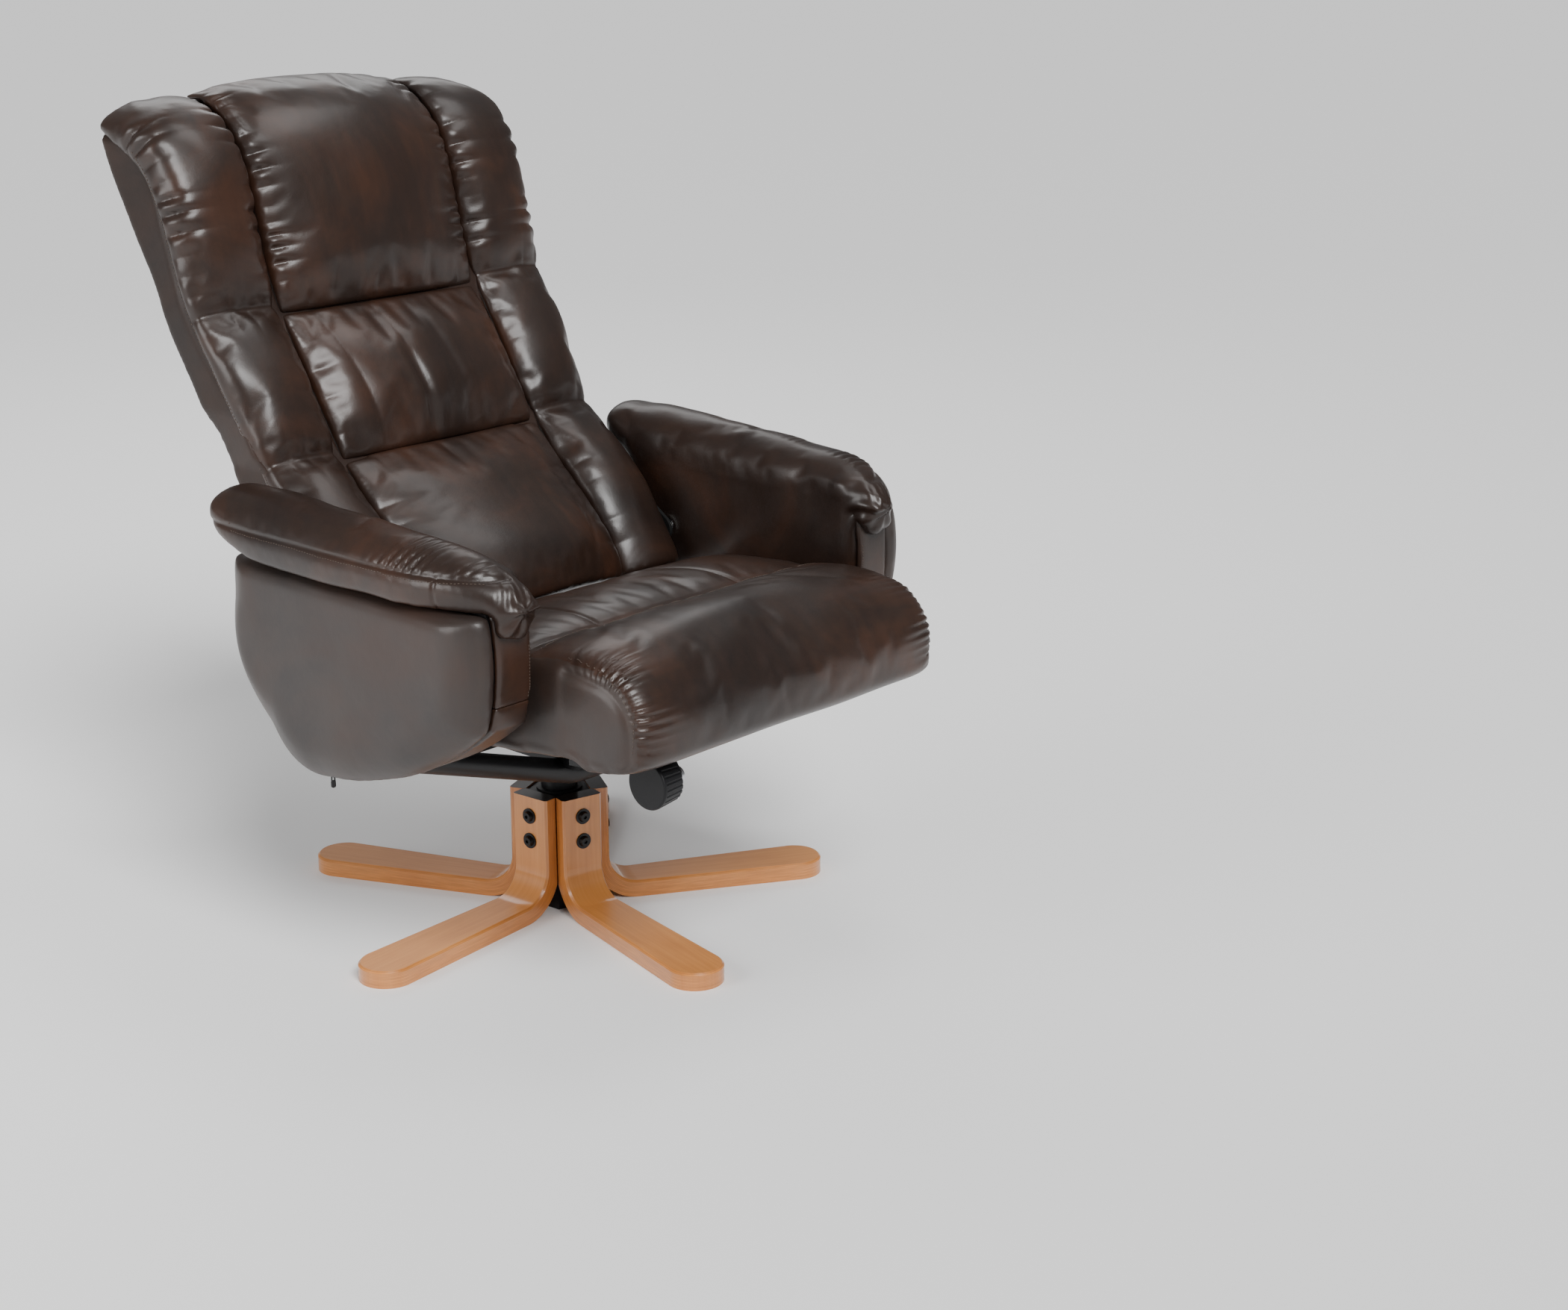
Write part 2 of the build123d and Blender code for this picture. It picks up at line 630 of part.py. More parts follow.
# slotted plates under the seat: an angle with two lobes that hold the slots
lobe = PIN_R + LOBE
slope = radians(SEAT_SLOPE)
for name, side in SIDES.items():
    far = GUIDE_X + GUIDE_WALL
    plate_front = CROSS_FRONT_Y - lobe
    plate = seat_bar(
        side, GUIDE_X, far, seat_strip(TRAY_REAR, plate_front, -GUIDE_DEPTH, -SEAT_GAP)
    )
    flange = seat_strip(TRAY_REAR, plate_front, -SEAT_GAP - GUIDE_WALL, -SEAT_GAP)
    plate += seat_bar(side, far - GUIDE_FLANGE, far, flange)
    for y in (CROSS_FRONT_Y, CROSS_REAR_Y):
        ends = (y + SEAT_TRAVEL + lobe, y - lobe)
        lobe_strip = seat_strip(*ends, -GUIDE_DROP - lobe, 1 - GUIDE_DEPTH)
        plate += seat_bar(side, GUIDE_X, far, lobe_strip)
    neck_rear = CROSS_REAR_Y + SEAT_TRAVEL + lobe
    neck = seat_strip(neck_rear, TRAY_REAR - 1, -GUIDE_DEPTH - 4, -GUIDE_DEPTH / 2)
    plate += seat_bar(side, GUIDE_X, far, neck)
    for y in (CROSS_FRONT_Y, CROSS_REAR_Y):
        middle = (y + SEAT_TRAVEL / 2 * cos(slope), guide_line(y) - SEAT_TRAVEL / 2 * sin(slope))
        plane, depth = across(side, GUIDE_X - 1, GUIDE_X + GUIDE_WALL + 1)
        with BuildPart(mode=Mode.PRIVATE) as slot:
            with BuildSketch(plane):
                with Locations(Location(middle, -SEAT_SLOPE)):
                    SlotCenterToCenter(SEAT_TRAVEL + 2, 2 * (PIN_R + SEAT_GAP))
            extrude(amount=depth)
        plate -= slot.part
    keep(plate, f"seat_guide_plate_{name}")

# ---------------------------------------------------------------- arms
core_in = arm_in + ARM_LINER + SEAT_GAP
core_out = core_in + ARM_CORE
panel_base = core_out + SEAT_GAP
arm_out = panel_base + ARM_PANEL
pivot_end = core_out - 3
plate_in = back_low_half + 3  # inner face of the hinge plates


def arm_outline(inset, top):
    """Closed side view of an arm: upright front, sagging bottom, upright rear."""
    rear = ARM_REAR - inset
    front = ARM_FRONT + inset
    low = ARM_LOW + inset
    front_top = (front + 7, top)
    front_low = (front + 13, ARM_TOP - 134 + inset * 0.6)
    belly = (ARM_FRONT + 140, low + 37)
    lowest = (ARM_SAG_Y, low)
    heel_mid = (ARM_REAR - 96 - inset * 0.4, low + 12)
    heel = (ARM_REAR - 62 - inset * 0.6, low + 44)
    rear_low = (rear, ARM_TOP - 48)
    with BuildLine() as outline:
        Line((rear - 2, top), front_top)
        ThreePointArc(front_top, (front, ARM_TOP - 52), front_low)
        ThreePointArc(front_low, belly, lowest)
        ThreePointArc(lowest, heel_mid, heel)
        ThreePointArc(heel, (rear - 16, ARM_TOP - 150), rear_low)
        Line(rear_low, (rear - 2, top))
    return outline.line


def arm_slab(side, near, far, inset, top):
    """A flat board of the arm's outline."""
    plane, depth = across(side, near, far)
    with BuildPart(mode=Mode.PRIVATE) as slab:
        with BuildSketch(plane):
            with BuildLine():
                add(arm_outline(inset, top))
            make_face()
        extrude(amount=depth)
    return slab.part


def arm_pieces(name, side):
    """Core, liner, outer panel, border, front strip and top roll of one arm."""
    passage = yoke_tube(side, YOKE_R + SEAT_GAP)
    pivot_hole = rod(side, PIVOT_Y, PIVOT_Z, arm_in - 1, pivot_end, PIVOT_R + RUN_GAP)

    core = arm_slab(side, core_in, core_out, ARM_BORDER + 2 * SEAT_GAP, ARM_TOP)
    core -= passage
    core -= pivot_hole
    for height in bolt_post_heights:
        core -= post_bolt(side, height, BOLT_R + SEAT_GAP)
    keep(core, f"arm_core_{name}")

    inside = ARM_BORDER + 2 * SEAT_GAP
    liner = arm_slab(side, arm_in + LINER_BEVEL, arm_in + ARM_LINER, inside, ARM_TOP)
    faces = []
    for rise, inset in ((0, inside + LINER_BEVEL), (LINER_BEVEL, inside)):
        with BuildSketch(Plane.YZ.offset(side * (arm_in + rise))) as face:
            with BuildLine():
                add(arm_outline(inset, ARM_TOP - inset + inside))
            make_face()
        faces.append(face.sketch)
    liner += loft(faces)
    liner -= passage
    liner -= rod(side, PIVOT_Y, PIVOT_Z, arm_in - 1, core_in + 1, PIVOT_R + BUSH_WALL + 1)
    keep(liner, f"arm_liner_{name}")

    border = arm_slab(side, arm_in, panel_base - SEAT_GAP, 0, ARM_TOP)
    border -= arm_slab(side, arm_in - 1, panel_base + 1, ARM_BORDER, ARM_TOP + 1)
    border -= passage
    strip_rear, strip_front = ARM_FRONT + 54, ARM_FRONT - 26
    corners = [
        (strip_rear, STRIP_LOW),
        (strip_front, STRIP_LOW),
        (strip_front, ARM_TOP + 2),
        (strip_rear, ARM_TOP + 2),
    ]
    strip_cut = seat_bar(side, arm_in - 1, panel_base + 1, corners)
    keep(border & strip_cut, f"arm_front_strip_{name}")
    keep((border - strip_cut).solids().sort_by(SortBy.VOLUME)[-1], f"arm_border_{name}")

    # crowned outer pad over the whole side
    layers = [(0, 4), (11, 0), (26, 10), (ARM_PANEL, 50)]
    outlines = []
    for rise, inset in layers:
        with BuildSketch(Plane.YZ.offset(side * (panel_base + rise))) as layer:
            with BuildLine():
                add(arm_outline(inset, ARM_TOP - max(inset, 0) * 0.3))
            make_face()
        outlines.append(layer.sketch)
    keep(loft(outlines), f"arm_outer_panel_{name}")

    # top roll: flat underneath, crowned, lifting at the rear, curving inwards and down at the front
    roll_z = ARM_TOP + 2 * PAD_GAP
    wide = (arm_out - arm_in) / 2 + 5
    roll_stations = [
        # y, underside, side height, crown, half width, shift towards the seat
        (ARM_REAR + 27, roll_z + 46, 11, 8, wide - 24, 0),
        (ARM_REAR + 20, roll_z + 34, 24, 15, wide - 11, 0),
        (ARM_REAR - 10, roll_z + 16, 34, 25, wide - 3, 0),
        (ARM_REAR - 54, roll_z + 4, 41, 31, wide, 0),
        (ARM_REAR - 114, roll_z, 42, 31, wide, 0),
        (ARM_FRONT + 204, roll_z, 39, 28, wide, 0),
        (ARM_FRONT + 94, roll_z, 36, 24, wide - 4, 3),
        (ARM_FRONT + 34, roll_z, 31, 19, wide - 13, 10),
        (ARM_FRONT, roll_z, 20, 14, wide - 24, 19),
        (ARM_FRONT - 22, roll_z + 1, 5, 7, wide - 36, 28),
    ]
    middle = (arm_in + arm_out) / 2
    slices = []
    for y, under, height, crown, half, shift in roll_stations:
        centre = side * (middle - shift)
        plane = Plane(origin=(centre, y, under), x_dir=(1, 0, 0), z_dir=(0, -1, 0))
        with BuildSketch(plane) as station:
            with BuildLine():
                Line((-half + 3, 0), (half - 3, 0))
                ThreePointArc((half - 3, 0), (half + 1.5, height / 2), (half - 1, height))
                ThreePointArc((half - 1, height), (0, height + crown), (-half + 1, height))
                ThreePointArc((-half + 1, height), (-half - 1.5, height / 2), (-half + 3, 0))
            make_face()
        slices.append(station.sketch)
    keep(loft(slices), f"arm_roll_{name}")

    # the pin that the back turns on
    return rod(side, PIVOT_Y, PIVOT_Z, plate_in, pivot_end, PIVOT_R)


pivot_pins = [arm_pieces(name, side) for name, side in SIDES.items()]
keep(Compound(pivot_pins), "recline_pivots")

# zip sliders and pulls at the lowest point of each arm's cover
zip_y = ARM_SAG_Y + 6
zip_x = core_out - 8
eye_z = ARM_LOW - 7.1
sliders = []
for name, side in SIDES.items():
    with BuildPart(mode=Mode.PRIVATE) as slider:
        with BuildSketch(Plane.XY.offset(ARM_LOW - 5 - SEAT_GAP)):
            with Locations((side * zip_x, zip_y)):
                RectangleRounded(7, 10, 2)
        extrude(amount=5)
        with BuildSketch(Plane.XY.offset(eye_z - 2.5)):
            with Locations((side * zip_x, zip_y)):
                Rectangle(3, 6)
        extrude(amount=5)
        with BuildSketch(Plane.YZ.offset(side * zip_x - 3)):
            with Locations((zip_y, eye_z)):
                Circle(1.1)
        extrude(amount=6, mode=Mode.SUBTRACT)
    sliders.append(slider.part)
    with BuildPart() as pull:
        with BuildSketch(Plane.YZ.offset(side * zip_x - 2.6)):
            with Locations((zip_y, eye_z)):
                Circle(1.05)
        extrude(amount=5.2)
        for ear in (-2.6, 1.8):
            with BuildSketch(Plane.YZ.offset(side * zip_x + ear)):
                with Locations((zip_y, eye_z - 3.5)):
                    Rectangle(2.1, 9.1)
            extrude(amount=0.8)
        with BuildSketch(Plane.XZ.offset(-zip_y - 1)):
            with Locations((side * zip_x, eye_z - 7 - ZIP_PULL / 2)):
                RectangleRounded(6, ZIP_PULL, 2)
        extrude(amount=2)
    keep(pull.part, f"zip_pull_{name}")
keep(Compound(sliders), "zip_sliders")

# ---------------------------------------------------------------- backrest
# side view of the back in shares of its run and rise from its foot: front datum, where the pads
# lie on the frame, then the rear skin
front_shape = [
    (0, 0), (0.202, 0.19), (0.348, 0.319), (0.476, 0.451), (0.61, 0.601),
    (0.669, 0.704), (0.71, 0.812), (0.771, 0.911), (0.876, 0.979), (1, 1),
]
rear_shape = [
    (0.229, -0.055), (0.36, 0.093), (0.5, 0.277), (0.681, 0.491),
    (0.826, 0.7), (0.929, 0.818), (1.024, 0.979),
]


def back_place(run, rise):
    """(y, z) of a point given in shares of the back's run and rise."""
    return (BACK_FOOT_Y + run * BACK_RUN, BACK_FOOT_Z + rise * BACK_RISE)


front_line = Spline(*[back_place(*point) for point in front_shape])
rear_line = [back_place(*point) for point in rear_shape]
seam_low = 0.315  # share of the front line at the lower seam of the middle panel
seam_high = 0.575  # and at the lower seam of the head panel


def back_plane(share, x=0.0, depth=0.0):
    """Plane square to the back's front line: x sideways, y out of the back's face."""
    point = front_line @ share
    tangent = front_line % share
    normal = (-tangent.Y, tangent.X)
    return Plane(
        origin=(x, point.X + normal[0] * depth, point.Y + normal[1] * depth),
        x_dir=(1, 0, 0),
        z_dir=(0, -tangent.X, -tangent.Y),
    )


def back_point(share, depth):
    """(y, z) of a point at a depth behind (negative) or ahead of the front line."""
    origin = back_plane(share, 0, depth).origin
    return (origin.Y, origin.Z)


def back_side(share):
    """Half width of the back: narrow between the arms, full above them."""
    low, high = 0.36, 0.43
    blend = min(max((share - low) / (high - low), 0), 1)
    return back_low_half + (back_half - back_low_half) * blend


def padded_form(stations):
    """A padded length lofted along the back: share, inner x, outer x, side height, crown."""
    slices = []
    for share, x_low, x_high, height, crown in stations:
        half = (x_high - x_low) / 2
        with BuildSketch(back_plane(share, (x_low + x_high) / 2)) as station:
            with BuildLine():
                Line((-half, PAD_GAP), (half, PAD_GAP))
                ThreePointArc((half, PAD_GAP), (half - 0.5, height / 2), (half - 2, height))
                ThreePointArc((half - 2, height), (0, height + crown), (-half + 2, height))
                ThreePointArc((-half + 2, height), (-half + 0.5, height / 2), (-half, PAD_GAP))
            make_face()
        slices.append(station.sketch)
    return loft(slices)


def centre_pad(name, rows):
    """A middle panel: rows of share, side height and crown."""
    half = back_centre_half
    keep(padded_form([(share, -half, half, height, crown) for share, height, crown in rows]), name)


centre_pad(
    "lower_back_pad",
    [(0.0, 30, 34), (0.04, 40, 34), (0.12, 36, 26), (0.22, 22, 18), (0.29, 12, 12), (seam_low, 5, 4)],
)
centre_pad(
    "lumbar_pad",
    [(seam_low, 5, 4), (0.34, 12, 14), (0.44, 16, 20), (0.54, 12, 15), (seam_high, 5, 4)],
)
centre_pad(
    "head_pad",
    [
        (seam_high, 5, 4), (0.6, 14, 16), (0.68, 20, 22), (0.78, 20, 22), (0.87, 18, 18),
        (0.95, 12, 14), (1.0, 6, 8),
    ],
)
bolster_parts = [
    # share, side height, crown: below the arms' tops, beside the waist, beside the head
    [(0.0, 26, 16), (0.1, 32, 18), (0.2, 28, 16), (0.28, 16, 11), (0.33, 7, 5)],
    [(0.33, 7, 5), (0.38, 15, 11), (0.46, 19, 13), (0.54, 15, 11), (0.59, 7, 5)],
    [(0.59, 7, 5), (0.64, 16, 12), (0.74, 20, 14), (0.85, 17, 12), (0.94, 8, 7), (1.0, 3, 3)],
]


def bolster(side):
    """A side bolster: three stuffed lengths drawn in at two seams."""
    whole = None
    for rows in bolster_parts:
        stations = []
        for share, height, crown in rows:
            ends = sorted((side * (back_centre_half + 1), side * back_side(share)))
            stations.append((share, *ends, height, crown))
        length = padded_form(stations)
        whole = length if whole is None else whole + length
    return whole


def shoulder_cut(drop):
    """What is taken off above the bolsters, so that the head pad stands higher than they do."""
    top = BACK_FOOT_Z + BACK_RISE
    with BuildPart(mode=Mode.PRIVATE) as cut:
        with BuildSketch(Plane.XZ.offset(-BACK_FOOT_Y - 2 * BACK_RUN)):
            for side in SIDES.values():
                near, far = side * (back_centre_half + SEAT_GAP), side * (back_half + 1)
                with BuildLine():
                    Line((near, top + 60), (near, top - drop))
                    ThreePointArc(
                        (near, top - drop),
                        (side * (back_half - 30), top - drop - 10),
                        (far, top - drop - SHOULDER),
                    )
                    Line((far, top - drop - SHOULDER), (far, top + 60))
                    Line((far, top + 60), (near, top + 60))
                make_face()
        extrude(amount=2 * BACK_RUN)
    return cut.part


for name, side in SIDES.items():
    keep(bolster(side) - shoulder_cut(0), f"bolster_{name}")

# rear cover: side gussets and back skin round a hollow that holds the frame
shell_shares = [0.0, 0.12, 0.24, 0.36, 0.5, 0.64, 0.76, 0.86, 0.94, 1.0]


def closed_profile(front, rear):
    """A closed outline from two smooth lines, both given from foot to top."""
    with BuildLine() as profile:
        Spline(*front)
        Line(front[-1], rear[-1])
        Spline(*reversed(rear))
        Line(rear[0], front[0])
    return profile.line


def back_profile(front_depth, rear_shift, low_shift=0.0):
    """Side view between the front line and the rear line."""
    front = [back_point(share, front_depth) for share in shell_shares]
    rear = [(y - rear_shift, z) for y, z in rear_line]
    if low_shift:
        front[0] = back_point(low_shift, front_depth)
        front = [front[0]] + front[2:]
    return closed_profile(front, rear)


def back_block(half, profile):
    """The profile extruded from -half to +half."""
    with BuildPart(mode=Mode.PRIVATE) as block:
        with BuildSketch(Plane.YZ.offset(-half)):
            with BuildLine():
                add(profile)
            make_face()
        extrude(amount=2 * half)
    return block.part


waist_low = (front_line @ 0.36).Y
waist_high = (front_line @ 0.43).Y
below = BACK_FOOT_Z - SHELL_CAP * 5  # well under the back
reach = BACK_RUN + BACK_FOOT_Y * 3  # well past it
with BuildPart(mode=Mode.PRIVATE) as waist:
    with BuildSketch(Plane.XZ.offset(-reach)):
        for side in SIDES.values():
            with BuildLine():
                Polyline(
                    (side * back_low_half, below),
                    (side * back_low_half, waist_low - 25),
                    (side * back_half, waist_high - 5),
                    (side * (back_half + 20), waist_high - 5),
                    (side * (back_half + 20), below),
                    close=True,
                )
            make_face()
    extrude(amount=reach + BACK_FOOT_Y)

shell = back_block(back_half, back_profile(-PAD_GAP / 2, 0))
shell -= waist.part
hollow = back_block(back_low_half - SHELL_WALL, back_profile(2, SHELL_WALL + 1, 0.05))
with BuildPart(mode=Mode.PRIVATE) as open_band:
    with BuildSketch(Plane.XY.offset(BACK_FOOT_Z - 17)):
        Rectangle(2 * back_half, 2 * reach)
    extrude(amount=BACK_RISE + 17 - SHELL_CAP)
shell -= hollow & open_band.part
shell -= shoulder_cut(6)
keep(shell, "back_shell")

# frame inside the shell
rail_out_x = back_low_half - SHELL_WALL - SEAT_GAP
rail_in_x = rail_out_x - RAIL_WIDTH
rail_depth_in = WEB + 2.0  # front of the side rails behind the front line
rail_shares = [0.06, 0.18, 0.3, 0.42, 0.54, 0.66, 0.78, 0.88]
for name, side in SIDES.items():
    plane, depth = across(side, rail_in_x, rail_out_x)
    front = [back_point(share, -rail_depth_in) for share in rail_shares]
    rear = [back_point(share, -rail_depth_in - RAIL_DEPTH) for share in rail_shares]
    with BuildPart() as rail:
        with BuildSketch(plane):
            with BuildLine():
                add(closed_profile(front, rear))
            make_face()
        extrude(amount=depth)
    keep(rail.part, f"back_side_rail_{name}")

rail_places = {"back_bottom_rail": 0.08, "back_middle_rail": 0.45, "back_top_rail": 0.86}
for name, share in rail_places.items():
    with BuildPart() as rail:
        with BuildSketch(back_plane(share, 0, -rail_depth_in - RAIL_DEPTH / 2)):
            Rectangle(2 * (rail_in_x - SEAT_GAP / 3), RAIL_DEPTH - 6)
        extrude(amount=RAIL_WIDTH, both=True)
    keep(rail.part, name)

web_shares = [0.16, 0.24, 0.32, 0.52, 0.6, 0.68, 0.76]
with BuildPart() as back_webbing:
    for share in web_shares:
        with BuildSketch(back_plane(share, 0, -rail_depth_in + 0.75 + WEB / 2)):
            Rectangle(2 * (rail_out_x - 2), WEB)
        extrude(amount=WEB_WIDTH / 2 - 4, both=True)
keep(back_webbing.part, "back_webbing")

# hinge plates on the outside of the shell, reaching forward to the pivots
bushes = []
for name, side in SIDES.items():
    root_low = back_point(0.1, -45)
    root_high = back_point(0.28, -40)
    plane, depth = across(side, plate_in, plate_in + HINGE_WALL)
    with BuildPart() as plate:
        with BuildSketch(plane):
            with BuildLine():
                Polyline((PIVOT_Y, PIVOT_Z), root_low, root_high, close=True)
            make_face()
            offset(amount=HINGE_EAR)
            with Locations((PIVOT_Y, PIVOT_Z)):
                Circle(PIVOT_R + BUSH_WALL + RUN_GAP, mode=Mode.SUBTRACT)
        extrude(amount=depth)
    plate_part = plate.part
    for y, z in (root_low, root_high):
        plate_part += rod(side, y, z, back_low_half + SEAT_GAP / 3, plate_in, HINGE_SPACER_R)
    keep(plate_part, f"back_hinge_plate_{name}")
    bush = rod(side, PIVOT_Y, PIVOT_Z, plate_in, plate_in + HINGE_WALL, PIVOT_R + BUSH_WALL)
    bush += rod(
        side, PIVOT_Y, PIVOT_Z, plate_in + HINGE_WALL, plate_in + HINGE_WALL + 3, PIVOT_R + 7
    )
    bush -= rod(side, PIVOT_Y, PIVOT_Z, plate_in - 1, plate_in + HINGE_WALL + 5, PIVOT_R + RUN_GAP)
    bushes.append(bush)
keep(Compound(bushes), "pivot_bushes")
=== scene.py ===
# %% [markdown]
# # Dressing a swivel recliner
# The chair is a leather-covered recliner that turns on a star of five bent wooden legs.
# Its frame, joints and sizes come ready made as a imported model, so this lesson only dresses
# it: stuffed leather covers with their seams and gathers, lacquered plywood, black steel.
# The first call loads that model. Everything is in metres, the sitter faces -Y, +Z is up
# and the origin is on the swivel axis at floor level.

# %% Load the fixed frame
from math import atan2, cos, pi, radians, sin

import bmesh
import bpy
import numpy as np
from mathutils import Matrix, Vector
from mathutils.bvhtree import BVHTree


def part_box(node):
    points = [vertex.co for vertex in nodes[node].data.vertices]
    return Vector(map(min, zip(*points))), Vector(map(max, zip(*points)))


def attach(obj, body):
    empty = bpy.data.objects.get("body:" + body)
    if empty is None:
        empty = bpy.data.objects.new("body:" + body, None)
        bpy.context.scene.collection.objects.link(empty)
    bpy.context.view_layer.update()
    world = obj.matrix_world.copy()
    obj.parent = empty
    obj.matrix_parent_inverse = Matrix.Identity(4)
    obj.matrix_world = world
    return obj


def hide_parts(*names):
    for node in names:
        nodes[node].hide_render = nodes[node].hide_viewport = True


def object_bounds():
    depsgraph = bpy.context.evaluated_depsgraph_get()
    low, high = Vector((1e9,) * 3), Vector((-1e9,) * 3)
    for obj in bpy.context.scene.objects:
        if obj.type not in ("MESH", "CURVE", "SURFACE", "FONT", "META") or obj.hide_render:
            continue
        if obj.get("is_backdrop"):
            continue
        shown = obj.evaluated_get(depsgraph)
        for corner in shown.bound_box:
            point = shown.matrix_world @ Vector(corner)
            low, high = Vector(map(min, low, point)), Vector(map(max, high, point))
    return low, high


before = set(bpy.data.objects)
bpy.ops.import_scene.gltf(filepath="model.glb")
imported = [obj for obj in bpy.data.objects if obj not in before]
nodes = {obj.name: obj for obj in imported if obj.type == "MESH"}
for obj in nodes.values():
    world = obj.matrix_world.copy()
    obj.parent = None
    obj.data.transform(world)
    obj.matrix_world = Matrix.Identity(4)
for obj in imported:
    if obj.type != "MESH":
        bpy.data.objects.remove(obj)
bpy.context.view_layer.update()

scene = bpy.context.scene

# %% [markdown]
# ## Camera
# The photograph looks down at the chair from its front right. A camera is only a place, three
# angles and a focal length, so it can be written straight down once those are known. Here
# they were found by matching the five leg tips and the mirrored seams of the back.

# %% Place the camera
camera_data = bpy.data.cameras.new("camera")
camera_data.sensor_width = 36
camera_data.lens = 59.77
camera = bpy.data.objects.new("camera", camera_data)
camera.location = (-2.1256, -2.2800, 1.2921)
camera.rotation_euler = (radians(72.70), 0, radians(-48.24))
scene.collection.objects.link(camera)
scene.camera = camera
print("camera", camera_data.lens, "mm at", tuple(round(v, 2) for v in camera.location))

# %% [markdown]
# ## Studio
# Glossy leather only looks like leather when it has something broad and bright to mirror.
# Point lamps would leave hard dots. The key light is a very wide sun above the camera,
# which also keeps the floor even all the way out. Large soft panels join it: one overhead
# for the front roll, one beside the chair that greys the side panels, and one behind for
# the rear cover.

# %% Light the studio
CHAIR_MIDDLE = Vector((0, 0.05, 0.5))
SUN_STRENGTH, SUN_WIDTH = 3.6, 28  # watts per square metre, degrees across
PANELS = [  # name, place, width and height in metres, watts
    ("overhead_panel", (0.9, -0.2, 3.2), 1.2, 1.0, 16),
    ("side_panel", (-3.4, 0.9, 1.7), 1.8, 1.8, 75),
    ("rear_panel", (1.8, 2.6, 2.6), 2.0, 1.2, 20),
]


def soft_light(name, place, width, height, watts):
    """A rectangular light panel that faces the middle of the chair."""
    data = bpy.data.lights.new(name, "AREA")
    data.shape = "RECTANGLE"
    data.size, data.size_y = width, height
    data.energy = watts
    light = bpy.data.objects.new(name, data)
    light.location = place
    light.rotation_euler = (CHAIR_MIDDLE - Vector(place)).to_track_quat("-Z", "Y").to_euler()
    scene.collection.objects.link(light)
    return light


key = soft_light("key_sun", (-0.9, -2.2, 2.9), 1, 1, 1)
key.data.type = "SUN"
key.data.energy = SUN_STRENGTH
key.data.angle = radians(SUN_WIDTH)
for panel in PANELS:
    soft_light(*panel)

# %% [markdown]
# The floor is a plain pale disc, so wide that its edge lies far behind the chair. It isn't
# part of the chair, so it is marked as stage. Shapes are drawn up loose, as a bmesh, and one
# helper turns a finished shape into an object.

# %% Lay the floor
FLOOR_RADIUS = 60


def object_of(shape, name):
    """An object of the scene with the drawn-up shape as its mesh."""
    mesh = bpy.data.meshes.new(name)
    shape.to_mesh(mesh)
    shape.free()
    piece = bpy.data.objects.new(name, mesh)
    scene.collection.objects.link(piece)
    return piece


disc = bmesh.new()
bmesh.ops.create_circle(disc, cap_ends=True, segments=64, radius=FLOOR_RADIUS)
floor = object_of(disc, "floor")
floor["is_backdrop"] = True
print("floor", 2 * FLOOR_RADIUS, "m across")

# %% [markdown]
# ## Material helpers
# A procedural material is a small graph: coordinates feed textures, textures feed colour,
# roughness and bump. Typing every node out hides the idea, so short helpers make a
# material, add a node with its settings or its links, and connect the result to the shader.

# %% Helpers for node graphs
def new_material(name, **settings):
    """A material whose shader has the given constants set on its own sockets."""
    material = bpy.data.materials.new(name)
    material.use_nodes = True
    shader = material.node_tree.nodes["Principled BSDF"]
    for socket, value in settings.items():
        shader.inputs[socket.replace("_", " ")].default_value = value
    return material, shader


def add_node(material, kind, inputs=(), **settings):
    """Add a node, set its properties, and fill its inputs with numbers or links."""
    node = material.node_tree.nodes.new("ShaderNode" + kind)
    for key, value in settings.items():
        setattr(node, key, value)
    for socket, value in dict(inputs).items():
        if isinstance(value, bpy.types.NodeSocket):
            material.node_tree.links.new(value, node.inputs[socket])
        else:
            node.inputs[socket].default_value = value
    return node


def connect(material, source, shader, socket):
    """Link an output to one of the shader's inputs."""
    material.node_tree.links.new(source, shader.inputs[socket])


def paint(piece, material):
    """Give a piece this one material in place of any it had."""
    piece.data.materials.clear()
    piece.data.materials.append(material)


floor_paint, _ = new_material("studio_floor", Base_Color=(0.93, 0.93, 0.93, 1), Roughness=0.95)
paint(floor, floor_paint)
print("floor painted", floor_paint.name)

# %% [markdown]
# Every finish here is built from the same few steps. Noise laid out in the chair's own frame
# gives a cloudy grey. That grey is turned into a colour through stops, rescaled into a
# roughness, or stacked as bumps into relief.

# %% Helpers for noise, colour and relief
def place_of(material, stretch=(1, 1, 1)):
    """The position in the chair's own frame, stretched by a factor along each axis."""
    place = add_node(material, "TexCoord").outputs["Object"]
    return add_node(material, "Mapping", {"Vector": place, "Scale": stretch}).outputs["Vector"]


def noise(material, place, scale, detail=3.0, rough=0.5, distort=0.0):
    """A cloudy grey between 0 and 1."""
    inputs = {"Vector": place, "Scale": scale}
    inputs |= {"Detail": detail, "Roughness": rough, "Distortion": distort}
    return add_node(material, "TexNoise", inputs).outputs["Fac"]


def ramp(material, grey, stops):
    """Turn a grey into a colour, through stops of (position, (r, g, b))."""
    node = add_node(material, "ValToRGB", {"Fac": grey})
    elements = node.color_ramp.elements
    while len(elements) < len(stops):
        elements.new(0.5)
    for element, (position, colour) in zip(elements, stops):
        element.position = position
        element.color = (*colour, 1)
    return node.outputs["Color"]


def relief(material, shader, layers):
    """Stack bumps, each (grey height, depth in metres, strength), onto the shader's normal."""
    normal = None
    for height, depth, strength in layers:
        inputs = {"Height": height, "Distance": depth, "Strength": strength}
        if normal is not None:
            inputs["Normal"] = normal
        normal = add_node(material, "Bump", inputs).outputs["Normal"]
    connect(material, normal, shader, "Normal")


